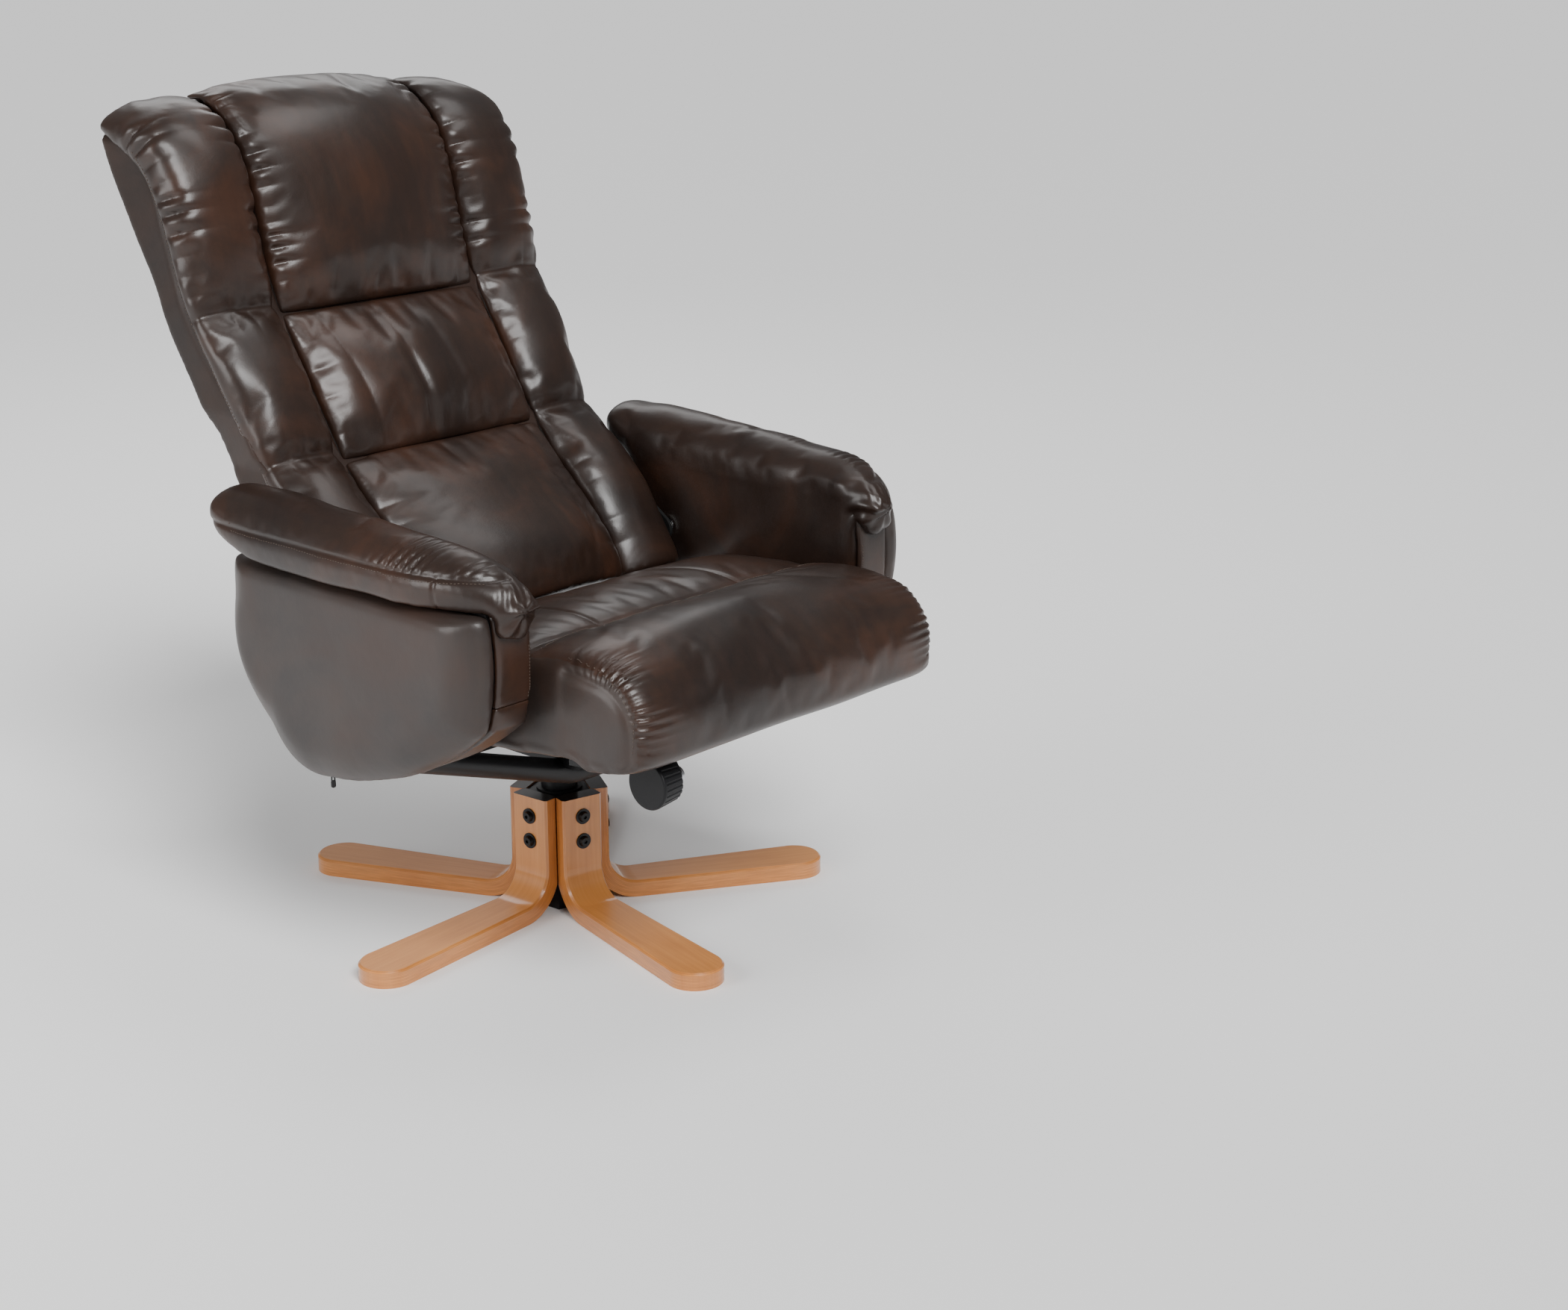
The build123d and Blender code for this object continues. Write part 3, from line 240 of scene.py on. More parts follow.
def mapped(material, grey, low, high):
    """Rescale a grey from 0..1 to low..high."""
    node = add_node(material, "MapRange", {"Value": grey, "To Min": low, "To Max": high})
    return node.outputs["Result"]


def mixed(material, share, first, second, **settings):
    """Mix two colours, the second over the first by a share."""
    inputs = {0: share, 6: first, 7: second}
    return add_node(material, "Mix", inputs, data_type="RGBA", **settings).outputs[2]


print("helpers: place_of, noise, ramp, relief, mapped, mixed")

# %% [markdown]
# ## Sky
# A pale sky fills what the lights leave dark. It is lighter at the top, so its colour is a
# ramp over the height of the direction looked in.

# %% Fill in with a sky
SKY_STRENGTH = 0.28
world = bpy.data.worlds.new("studio")
world.use_nodes = True
direction = add_node(world, "TexCoord").outputs["Generated"]
height = add_node(world, "SeparateXYZ", {"Vector": direction}).outputs["Z"]
background = world.node_tree.nodes["Background"]
fade = ramp(world, height, [(0.05, (0.62, 0.62, 0.63)), (0.85, (1, 1, 1))])
connect(world, fade, background, "Color")
background.inputs["Strength"].default_value = SKY_STRENGTH
scene.world = world
print("sky strength", SKY_STRENGTH)

# %% [markdown]
# ## Leather
# Bonded leather is a coated hide: nearly black brown, with redder patches where the pigment
# thins, a fine pebble about a millimetre across, and a semi-gloss coat. One flat brown would
# look like plastic. So a broad cloud sorts the browns, a second, stretched cloud tints them
# with the faint streaks of drawn hide, and a cell pattern gives the pebble. The side panels
# are less burnished than the seat and are painted greyer, a painted sheen of the light that
# falls on them from the side, and the rear cover is duller.

# %% Make the leather
HIDE_DARK = (0.0125, 0.0068, 0.0050)
HIDE_MIDDLE = (0.021, 0.0105, 0.0068)
HIDE_RED = (0.040, 0.0165, 0.0090)
# the pale browns that grey lifts the leather towards are a painted sheen
SHEEN_DARK, SHEEN_MIDDLE = 0.06, 0.07  # what the dark and the middle brown fade to
PATCHES_PER_METRE, WEAR_PER_METRE = 5.5, 26
CREASES_PER_METRE, SWELLS_PER_METRE = 150, 22
PEBBLE_PER_METRE = 850


def leather(name, red=1.0, gloss=0.36, grey=0.0, coat=0.15, shine=0.42):
    """Semi-gloss brown leather: red is how much of it is burnished, grey lightens it as a painted
    sheen.
    """
    material, shader = new_material(
        name, Roughness=gloss, Coat_Weight=coat, Coat_Roughness=0.22, Specular_IOR_Level=shine
    )
    place = place_of(material)
    patches = noise(material, place, PATCHES_PER_METRE, detail=5, rough=0.62, distort=0.6)
    # grey lifts the browns towards pale ones: a painted sheen
    dark = tuple(c + grey * (SHEEN_DARK - c) for c in HIDE_DARK)
    middle = tuple(c + grey * (SHEEN_MIDDLE - c) for c in HIDE_MIDDLE)
    red_hide = tuple(m + red * (r - m) for m, r in zip(middle, HIDE_RED))
    colour = ramp(material, patches, [(0.34, dark), (0.50, middle), (0.66, red_hide)])
    streaks = noise(material, place_of(material, (60, 7, 7)), 1.0, detail=4, rough=0.6)
    tint = ramp(material, streaks, [(0.35, (0.80, 0.80, 0.82)), (0.65, (1.16, 1.12, 1.06))])
    streaked = mixed(material, 0.6, colour, tint, blend_type="MULTIPLY")
    connect(material, streaked, shader, "Base Color")
    wear = noise(material, place, WEAR_PER_METRE, detail=4)
    connect(material, mapped(material, wear, gloss - 0.04, gloss + 0.08), shader, "Roughness")
    pebble = add_node(
        material, "TexVoronoi", {"Vector": place, "Scale": PEBBLE_PER_METRE}, feature="SMOOTH_F1"
    ).outputs["Distance"]
    creases = noise(material, place, CREASES_PER_METRE, detail=5, rough=0.6, distort=0.4)
    swell = noise(material, place, SWELLS_PER_METRE, detail=2)
    relief(
        material, shader, [(swell, 0.004, 0.16), (creases, 0.0007, 0.18), (pebble, 0.00022, 0.22)]
    )
    return material


hide = leather("burnished_leather")
# the side leather is less burnished, and it is painted greyer as the sheen of the light from the
# side
hide_side_painted_sheen = leather("side_leather_painted_sheen", red=0.4, gloss=0.44, grey=0.15)
hide_rear = leather("rear_leather", red=0.5, gloss=0.46, coat=0.05, shine=0.28)
print("leathers", hide.name, hide_side_painted_sheen.name, hide_rear.name)

# %% [markdown]
# ## Lacquered bent plywood
# Each leg is one strip of beech veneers, glued and bent to an L, then lacquered honey
# orange. Two things give it away: grain that follows the bend, and glue lines that run
# round the edge parallel to the faces. Both need a coordinate that bends with the leg. The
# depth below the outer face can be written as one distance to the bend's centre, clamped on
# the straight parts, so the same formula serves foot, bend and column.

# %% Make the wood of one leg
HUB_FACE = 0.035  # from the swivel axis to the column's inner face
BEND_OUT = 0.060  # outer radius of the bend
PLY = 0.0019
COLUMN_TOP = 0.14  # faces that look up from above this height are the sawn column tops
FOOT_TIP = 0.30  # faces that look outwards from beyond this distance are the foot tips
BEECH = [(0.28, (0.50, 0.180, 0.042)), (0.5, (0.61, 0.240, 0.060)), (0.72, (0.69, 0.295, 0.088))]
GLUE_LINE = (0.20, 0.075, 0.022, 1)
# the column tops are painted nearly black as the shade under the mechanism
TOP_PAINTED_SHADE = (0.030, 0.018, 0.013, 1)


def leg_wood(number, heading):
    """Beech plywood whose plies and grain follow a leg with this heading, in radians."""
    material, shader = new_material(
        f"beech_ply_{number}", Roughness=0.3, Coat_Weight=0.55, Coat_Roughness=0.12
    )

    def compute(operation, a, b=0.0):
        return add_node(material, "Math", {0: a, 1: b}, operation=operation).outputs[0]

    def along(vector, direction):
        node = add_node(material, "VectorMath", {0: vector, 1: direction}, operation="DOT_PRODUCT")
        return node.outputs["Value"]

    outward, sideways = (cos(heading), sin(heading), 0), (-sin(heading), cos(heading), 0)
    upward = (0, 0, 1)
    place = place_of(material)
    out, side, up = (along(place, way) for way in (outward, sideways, upward))
    from_out = compute("MAXIMUM", compute("SUBTRACT", HUB_FACE + BEND_OUT, out), 0.0)
    from_up = compute("MAXIMUM", compute("SUBTRACT", BEND_OUT, up), 0.0)
    squares = compute("ADD", compute("POWER", from_out, 2.0), compute("POWER", from_up, 2.0))
    depth = compute("SUBTRACT", BEND_OUT, compute("SQRT", squares))
    length = compute("SUBTRACT", out, up)
    drawn_out = {0: compute("MULTIPLY", length, 7.0), 1: compute("MULTIPLY", side, 150.0)}
    coordinates = add_node(material, "CombineXYZ", drawn_out | {2: float(number)}).outputs[0]
    flecks = noise(material, coordinates, 1.0, detail=5, rough=0.6, distort=0.3)
    broad = noise(material, place, 9, detail=2)
    grain = compute("ADD", compute("MULTIPLY", flecks, 0.6), compute("MULTIPLY", broad, 0.4))
    colour = ramp(material, grain, BEECH)
    ply_place = compute("DIVIDE", depth, PLY)
    ply_wave = compute("ABSOLUTE", compute("SUBTRACT", compute("FRACT", ply_place), 0.5))
    glue = compute("MULTIPLY", compute("GREATER_THAN", ply_wave, 0.40), 0.45)
    in_layer = {0: compute("FLOOR", ply_place), 1: compute("MULTIPLY", length, 9.0)}
    layer = noise(material, add_node(material, "CombineXYZ", in_layer).outputs[0], 2.3)
    edge_tone = ramp(material, layer, [(0.3, (0.70, 0.62, 0.52)), (0.7, (1.05, 1.0, 0.95))])
    edge_colour = mixed(material, 0.75, colour, edge_tone, blend_type="MULTIPLY")
    lined = mixed(material, glue, edge_colour, GLUE_LINE)

    def both(first, second):
        first, second = compute("GREATER_THAN", *first), compute("GREATER_THAN", *second)
        return compute("MULTIPLY", first, second)

    # only faces that cut across the plies show them: there the normal lies along the strip's
    # width, or straight out at the tip of the foot
    normal = add_node(material, "NewGeometry").outputs["Normal"]
    cut = compute("GREATER_THAN", compute("ABSOLUTE", along(normal, sideways)), 0.45)
    tip_cut = both((along(normal, outward), 0.5), (out, FOOT_TIP))
    body = mixed(material, compute("MAXIMUM", cut, tip_cut), colour, lined)
    # painted shade: the sawn top of the column is painted nearly black, as it lies in shade under
    # the mechanism
    top = both((along(normal, upward), 0.7), (up, COLUMN_TOP))
    connect(material, mixed(material, top, body, TOP_PAINTED_SHADE), shader, "Base Color")
    relief(material, shader, [(flecks, 0.0004, 0.12), (ply_wave, 0.00025, 0.12)])
    return material


print("beech with plies", 1000 * PLY, "mm thick")

# %% [markdown]
# The five legs are equal and stand 72 degrees apart. Each one gets its own copy of the wood,
# turned to the leg's heading, which its box gives, and with its own piece of the grain.

# %% Dress the five legs
for number in range(1, 6):
    low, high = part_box(f"leg_{number}")
    middle = (low + high) / 2
    paint(nodes[f"leg_{number}"], leg_wood(number, atan2(middle.y, middle.x)))
print("legs dressed", [nodes[f"leg_{n}"].data.materials[0].name for n in range(1, 6)])

# %% [markdown]
# ## Steel, plastic and nylon
# The mechanism is plain: satin black paint on the channel and the yokes, bright zinc on
# pivots and studs, nylon where things rub. Painted steel is never perfectly even, so a weak
# cloud in the roughness keeps it from looking dipped.

# %% Make the hard finishes
def hard_finish(name, colour, rough, metal=0.0, grain=0.0006, scale=300, **more):
    """An even paint, plastic or metal with a slightly uneven polish."""
    material, shader = new_material(name, Base_Color=(*colour, 1), Metallic=metal, **more)
    cloud = noise(material, place_of(material), scale, detail=3)
    connect(material, mapped(material, cloud, rough - 0.06, rough + 0.08), shader, "Roughness")
    if grain:
        relief(material, shader, [(cloud, grain, 0.15)])
    return material


black_paint = hard_finish(
    "satin_black_paint", (0.008, 0.008, 0.009), 0.40, scale=500, Specular_IOR_Level=0.35
)
dull_black = hard_finish("dull_black_paint", (0.007, 0.007, 0.007), 0.75, Specular_IOR_Level=0.2)
black_bolt = hard_finish("blackened_bolt", (0.016, 0.015, 0.015), 0.30, metal=0.6, grain=0)
zinc = hard_finish("bright_zinc", (0.55, 0.56, 0.58), 0.30, metal=1.0, grain=0)
nylon = hard_finish("white_nylon", (0.78, 0.77, 0.73), 0.45, grain=0)
black_nylon = hard_finish("black_nylon", (0.010, 0.010, 0.010), 0.50, grain=0)
knob_black = hard_finish(
    "ribbed_knob_plastic", (0.007, 0.007, 0.008), 0.48, scale=900, Specular_IOR_Level=0.25
)
zip_black = hard_finish("zip_metal", (0.030, 0.030, 0.032), 0.32, metal=0.8, grain=0)
print("black, zinc and nylon finishes made, so far", len(bpy.data.materials), "materials")

# %% [markdown]
# ## Timber, lining and webbing
# Inside the covers is a frame of raw softwood, under black lining cloth where a board lies
# close to a seam. Elastic straps carry the cushions. Little of this shows, but each piece
# still gets the finish it would really have, because the parts can be taken apart.

# %% Make the inner finishes
THREADS_PER_METRE = 420


def timber():
    """Raw softwood with long dark grain lines."""
    material, shader = new_material("frame_softwood", Roughness=0.62)
    lines = noise(material, place_of(material, (14, 90, 90)), 1.0, detail=5, distort=0.4)
    stops = [(0.3, (0.42, 0.27, 0.14)), (0.55, (0.62, 0.44, 0.25)), (0.8, (0.70, 0.53, 0.33))]
    connect(material, ramp(material, lines, stops), shader, "Base Color")
    relief(material, shader, [(lines, 0.0005, 0.2)])
    return material


def elastic_webbing():
    """Woven strap: a fine check of threads in off-white and tan."""
    material, shader = new_material("elastic_webbing", Roughness=0.85, Sheen_Weight=0.2)
    threads = {"Vector": place_of(material), "Scale": THREADS_PER_METRE}
    threads |= {"Color1": (0.52, 0.44, 0.31, 1), "Color2": (0.30, 0.24, 0.16, 1)}
    weave = add_node(material, "TexChecker", threads)
    connect(material, weave.outputs["Color"], shader, "Base Color")
    relief(material, shader, [(weave.outputs["Fac"], 0.0005, 0.4)])
    return material


lining_cloth = hard_finish("black_lining_cloth", (0.012, 0.010, 0.010), 0.85, scale=900)
raw_timber = timber()
webbing = elastic_webbing()
print("inner finishes", lining_cloth.name, raw_timber.name, webbing.name)

# %% [markdown]
# A piece's name says what it is made of, so a short list of finishes, each with words from
# names, dresses them all. The first row with a word in the name wins, and what is left is a
# pivot, spindle, bolt, stud or clip of zinc. The leather parts get covers of their own below.

# %% Dress the hard pieces
finishes = [
    (black_paint, "hub_column", "swivel_sleeve", "carrier_channel", "cross_member"),
    (black_paint, "yoke", "guide"),
    (dull_black, "hinge_plate"),
    (black_bolt, "leg_bolts", "leg_washers"),
    (black_nylon, "thrust_washer"),
    (nylon, "pivot_bushes"),
    (knob_black, "tension_knob"),
    (zip_black, "zip"),
    (webbing, "webbing"),
    (lining_cloth, "arm_core", "seat_side_rail"),
    (raw_timber, "rail"),
]
for name, node in nodes.items():
    if name.startswith("leg_") and name[4:].isdigit():
        continue
    paint(node, next((f for f, *words in finishes if any(w in name for w in words)), zinc))
print(len(nodes) - 5, "pieces besides the legs dressed")

# %% [markdown]
# ## Moving points
# Everything that happens to a cover from here on is a move of its points: out along the
# surface, towards their neighbours, or to one side. Arrays do that for all points at once,
# so these helpers read positions and normals as rows of an array and write them back.

# %% Helpers that move points
def settle(piece):
    """Replace the piece's mesh by what its modifiers make of it."""
    graph = bpy.context.evaluated_depsgraph_get()
    mesh = bpy.data.meshes.new_from_object(piece.evaluated_get(graph), depsgraph=graph)
    piece.modifiers.clear()
    piece.data = mesh
    return piece


def points_of(piece):
    """All vertex positions of a piece, one row each."""
    points = np.empty(len(piece.data.vertices) * 3, np.float32)
    piece.data.vertices.foreach_get("co", points)
    return points.reshape(-1, 3).astype(float)


def normals_of(piece):
    """All vertex normals of a piece, one row each."""
    normals = np.empty(len(piece.data.vertices) * 3, np.float32)
    piece.data.vertices.foreach_get("normal", normals)
    return normals.reshape(-1, 3).astype(float)


def place_points(piece, points):
    """Write vertex positions back."""
    piece.data.vertices.foreach_set("co", points.astype(np.float32).ravel())
    piece.data.update()


def push(piece, amount):
    """Move every vertex along its normal, by one amount in metres or each by its own."""
    amount = np.broadcast_to(amount, len(piece.data.vertices))
    place_points(piece, points_of(piece) + normals_of(piece) * amount[:, None])


def relax(piece, rounds, weight=1.0):
    """Even out the skin: each vertex moves half way to the middle of its neighbours."""
    ends = np.empty(len(piece.data.edges) * 2, np.int32)
    piece.data.edges.foreach_get("vertices", ends)
    a, b = ends.reshape(-1, 2).T
    points = points_of(piece)
    count = np.bincount(np.concatenate([a, b]), minlength=len(points))[:, None]
    weight = np.broadcast_to(np.asarray(weight, float), len(points))[:, None]
    for _ in range(rounds):
        sums = [
            np.bincount(a, points[b, k], len(points)) + np.bincount(b, points[a, k], len(points))
            for k in range(3)
        ]
        points = points + 0.5 * weight * (np.stack(sums, axis=1) / np.maximum(count, 1) - points)
    place_points(piece, points)


print("helpers: settle, points_of, normals_of, place_points, push, relax")

# %% [markdown]
# ## From a plain block to a sewn cover
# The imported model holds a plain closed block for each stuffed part. A block's mesh is a few
# long triangles, far too coarse to swell or gather. A voxel remesh lays an even skin of
# small quads over it, and a few rounds of smoothing turn its hard edges into the soft turns
# of leather over foam. Where blocks meet inside one cover they fuse into one skin. A
# rounded lump can be fused in where leather bunches, and a bar where a cover wraps round.

# %% Helpers that make a skin
def skin_over(name, *blocks, cell=0.0045, soften=6, lumps=(), bar=()):
    """An even skin over copies of the named blocks, a bar and rounded lumps, fused into one."""
    shape = bmesh.new()
    for block in blocks:
        shape.from_mesh(nodes[block].data)
    bmesh.ops.remove_doubles(shape, verts=shape.verts, dist=1e-5)
    if bar:
        bar_up_the_back(shape, bar)
    for centre, radii in lumps:
        ball = bmesh.ops.create_icosphere(shape, subdivisions=3, radius=1)
        for vert in ball["verts"]:
            vert.co = Vector(c + r * v for c, r, v in zip(centre, radii, vert.co))
    piece = object_of(shape, name)
    remesh = piece.modifiers.new("skin", "REMESH")
    remesh.mode = "VOXEL"
    remesh.voxel_size = cell
    settle(piece)
    relax(piece, soften)
    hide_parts(*blocks)
    return piece


def finer(piece):
    """One round of subdivision."""
    step = piece.modifiers.new("finer", "SUBSURF")
    step.levels = step.render_levels = 1
    return settle(piece)


def finish_cover(piece, body, material):
    """Paint a cover, shade it smooth and let it ride on its body."""
    paint(piece, material)
    piece.data.shade_smooth()
    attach(piece, body)
    print(f"{piece.name}: {len(piece.data.vertices)} vertices")
    return piece


print("helpers: skin_over, finer, finish_cover")

# %% [markdown]
# ## Stuffing
# Foam pushes a cover out until the leather is taut, and the seams, which are shorter than
# the leather between them, stay behind. That is just what a cloth solver does with a
# little air pressure: the seams are held, the rest swells. Gravity is off, the cover is
# cut about one per cent generous, and nothing may move further than real foam would let
# it. Two rounds of smoothing take out the last shiver of the cloth.

# %% A helper that stuffs a cover
CLOTH_MOMENTS = 20
CLOTH = {
    "quality": 4, "mass": 0.3, "tension_stiffness": 20, "compression_stiffness": 20,
    "shear_stiffness": 10, "bending_stiffness": 3, "use_pressure": True,
}


def stuff(piece, held, limit, pressure=4.0, slack=0.010):
    """Swell the piece by cloth pressure, keeping the held vertices where they are."""
    start = points_of(piece)
    group = piece.vertex_groups.new(name="held")
    group.add([int(i) for i in np.flatnonzero(held)], 1.0, "REPLACE")
    cloth = piece.modifiers.new("stuffing", "CLOTH")
    for setting, value in CLOTH.items():
        setattr(cloth.settings, setting, value)
    cloth.settings.uniform_pressure_force = pressure
    cloth.settings.shrink_min = -slack
    cloth.settings.vertex_group_mass = "held"
    cloth.settings.effector_weights.gravity = 0
    cloth.collision_settings.use_collision = False
    cloth.point_cache.frame_start = 1
    cloth.point_cache.frame_end = CLOTH_MOMENTS
    for moment in range(1, CLOTH_MOMENTS + 1):
        scene.frame_set(moment)
    settle(piece)
    scene.frame_set(1)
    moved = points_of(piece) - start
    far = np.linalg.norm(moved, axis=1)
    shorten = np.minimum(1, limit / np.maximum(far, 1e-9))
    place_points(piece, start + moved * shorten[:, None])
    relax(piece, 2, ~held)
    piece.vertex_groups.clear()
    print(f"{piece.name} swelled {1000 * far.max():.0f} mm at most, {1000 * far.mean():.1f} mean")
    return piece


print("cloth runs for", CLOTH_MOMENTS, "moments")

# %% [markdown]
# ## Seams and gathers
# A seam is a narrow groove inside a wide, shallow dip. Gathers are the small folds that
# stand square to a seam where more leather was sewn in than the seam is long: they are
# sharp at the stitches, bulge a little way out and die away. Both only need two numbers
# at every point, the distance from the seam and the place along it, so they can be written
# as functions of those two and added to any skin. Real folds differ in length and depth,
# so their spacing wanders and a second, slower wave lets some of them fade.

# %% Helpers for seams and gathers
def groove(away, depth=0.0028, wide=0.0034, dip=0.0035, dip_wide=0.018):
    """How far a seam draws the leather in, at a distance away from it."""
    return -depth * np.exp(-((away / wide) ** 2)) - dip * np.exp(-((away / dip_wide) ** 2))


def gathers(away, along, depth, reach, spacing, seed=0.0, slant=0.0):
    """Folds square to a seam: zero on it, strongest a third of the reach out."""
    along = along + slant * away
    wander = 0.6 * np.sin(along * 31 + seed) + 0.35 * np.sin(along * 73 + 2.3 * seed)
    fold = 2 * np.abs(np.sin(pi * along / spacing + wander)) ** 0.8 - 1.25
    some = np.clip(0.65 + 0.55 * np.sin(along * 57 + 1.7 * seed), 0.2, 1)
    out = np.maximum(away, 0) / (reach * (0.6 + 0.4 * some) / 3)
    return depth * some * fold * (out * np.exp(1 - out)) ** 1.6


def within(value, low, high, soft=0.01):
    """1 between low and high, fading to 0 over a soft edge."""
    up = 1 / (1 + np.exp(np.clip(-(value - low) / soft * 4, -60, 60)))
    down = 1 / (1 + np.exp(np.clip(-(high - value) / soft * 4, -60, 60)))
    return up * down


def rumple(points, size, depth, seed=0):
    """Broad, shallow unevenness of leather over foam."""
    rng = np.random.default_rng(seed)
    total = np.zeros(len(points))
    for _ in range(9):
        way = rng.normal(size=3)
        way *= rng.uniform(0.6, 1.6) / np.linalg.norm(way) / size * 2 * pi
        total += np.sin(points @ way + rng.uniform(0, 2 * pi))
    return depth * total / 3


print("helpers: groove, gathers, within, rumple")

# %% [markdown]
# ## Finding a place on the back
# The back is bent like a shallow S, so neither z nor y says how far up a fold lies. Its front
# line in side view does. Every point gets two numbers from it: its share of the way up, and
# its height in front of the line. Seams are then plain numbers too, and shapes can be laid
# out the other way round, from a share and a height to a place.

# %% Lay out the back
# the front line in side view, (y, z), from the seat to the top
BACK_FOOT = np.array([0.062, 0.372])
BACK_SPAN = np.array([0.420, 0.617])
back_line = BACK_FOOT + BACK_SPAN * np.array([
    (0, 0), (0.202, 0.19), (0.348, 0.319), (0.476, 0.451), (0.61, 0.601),
    (0.669, 0.704), (0.71, 0.812), (0.771, 0.911), (0.876, 0.979), (1, 1),
])
back_steps = np.linalg.norm(np.diff(back_line, axis=0), axis=1)
back_marks = np.concatenate([[0], np.cumsum(back_steps)])
BACK_LENGTH = back_marks[-1]
fine_marks = np.linspace(0, BACK_LENGTH, 400)
fine_line = np.stack(
    [np.interp(fine_marks, back_marks, back_line[:, axis]) for axis in (0, 1)], axis=1
)
for _ in range(2):  # round its corners, so that folds laid out along it run true
    ends = np.pad(fine_line, ((18, 18), (0, 0)), mode="reflect", reflect_type="odd")
    fine_line = np.stack([np.convolve(each, np.ones(37) / 37, "valid") for each in ends.T], axis=1)
fine_way = np.gradient(fine_line, axis=0)
fine_way /= np.linalg.norm(fine_way, axis=1)[:, None]


def up_the_back(points):
    """Share of the way up the back's front line, and height in front of that line."""
    nearest = np.empty(len(points), int)
    for start in range(0, len(points), 20000):
        rows = points[start : start + 20000, 1:]
        gaps = ((rows[:, None, :] - fine_line[None]) ** 2).sum(axis=2)
        nearest[start : start + 20000] = gaps.argmin(axis=1)
    gap = points[:, 1:] - fine_line[nearest]
    way = fine_way[nearest]
    share = nearest / (len(fine_line) - 1) + (gap * way).sum(axis=1) / BACK_LENGTH
    return share, gap[:, 1] * way[:, 0] - gap[:, 0] * way[:, 1]


def on_the_back(x, share, height):
    """The point at a place across, a share up and a height in front of the back's line."""
    mark = min(share, 1) * (len(fine_line) - 1)
    y, z = (np.interp(mark, range(len(fine_line)), fine_line[:, axis]) for axis in (0, 1))
    way_y, way_z = (np.interp(mark, range(len(fine_way)), fine_way[:, axis]) for axis in (0, 1))
    past = max(share - 1, 0) * BACK_LENGTH
    return np.array([x, y - height * way_z + past * way_y, z + height * way_y + past * way_z])


print(f"back line {BACK_LENGTH:.3f} m long")

# %% [markdown]
# The solids of the back are stepped in between the arms. Real covers hide that step: they
# narrow evenly, so points are drawn in from the one width to the other. Bars that follow the
# back are laid out from rings of corners, one ring for each share of the way up.

# %% Helpers that shape the back
def frame_half(share):
    """Half the width of the frame's back, which is stepped in between the arms."""
    return np.interp(share, [0.36, 0.43], [0.262, 0.281])


def half_width(share):
    """Half the width of the dressed back, which narrows evenly down to the arms."""
    return np.interp(share, [0.28, 0.62], [0.262, 0.281])


def narrow(points, share):
    """Draw points laid out on the stepped width in to the even one."""
    past = np.maximum(np.abs(points[:, 0]) - 0.20, 0)
    less = past * (1 - (half_width(share) - 0.20) / (frame_half(share) - 0.20))
    points[:, 0] -= np.sign(points[:, 0]) * less
    return points


def bar_up_the_back(shape, rows):
    """A closed bar: at each share up the back a ring of corners (x, height)."""
    rings = [
        [shape.verts.new(on_the_back(x, share, height)) for x, height in corners]
        for share, *corners in rows
    ]
    for low, high in zip(rings, rings[1:]):
        for i in range(len(low)):
            shape.faces.new((low[i], low[i - 1], high[i - 1], high[i]))
    shape.faces.new(rings[0])
    shape.faces.new(rings[-1][::-1])
    bmesh.ops.recalc_face_normals(shape, faces=shape.faces)


print("half width at the foot", half_width(0), "and the top", half_width(1))

# %% [markdown]
# ## Back pads
# The middle of the back is three pads sewn into one sleeve: a plump one for the head, a
# flatter one behind the waist, and a low one down to the seat. The seams between them run
# straight across. The head pad is the fullest, so its sides pucker where they are sewn
# to the narrow bolsters. A plain lining lies behind them all and closes the seams.

# %% Cut the lining
LINING_HALF, LINING_REAR, LINING_FRONT = 0.257, 0.0010, 0.0028
lining_ring = [
    (-LINING_HALF, LINING_REAR), (LINING_HALF, LINING_REAR),
    (LINING_HALF, LINING_FRONT), (-LINING_HALF, LINING_FRONT),
]
lining = bmesh.new()
bar_up_the_back(lining, [(share, *lining_ring) for share in np.linspace(0.02, 0.97, 60)])
pad_lining = object_of(lining, "pad_lining")
paint(pad_lining, hide)
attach(pad_lining, "backrest")
print("lining", len(pad_lining.data.vertices), "vertices")

# %% [markdown]
# Each pad is swelled first and folded after. The head pad puckers along its sides and is
# rounded off at its top corners. The lumbar pad has a deep crease and a fainter one that run
# up from its lower seam, and the low pad has a long curved one.

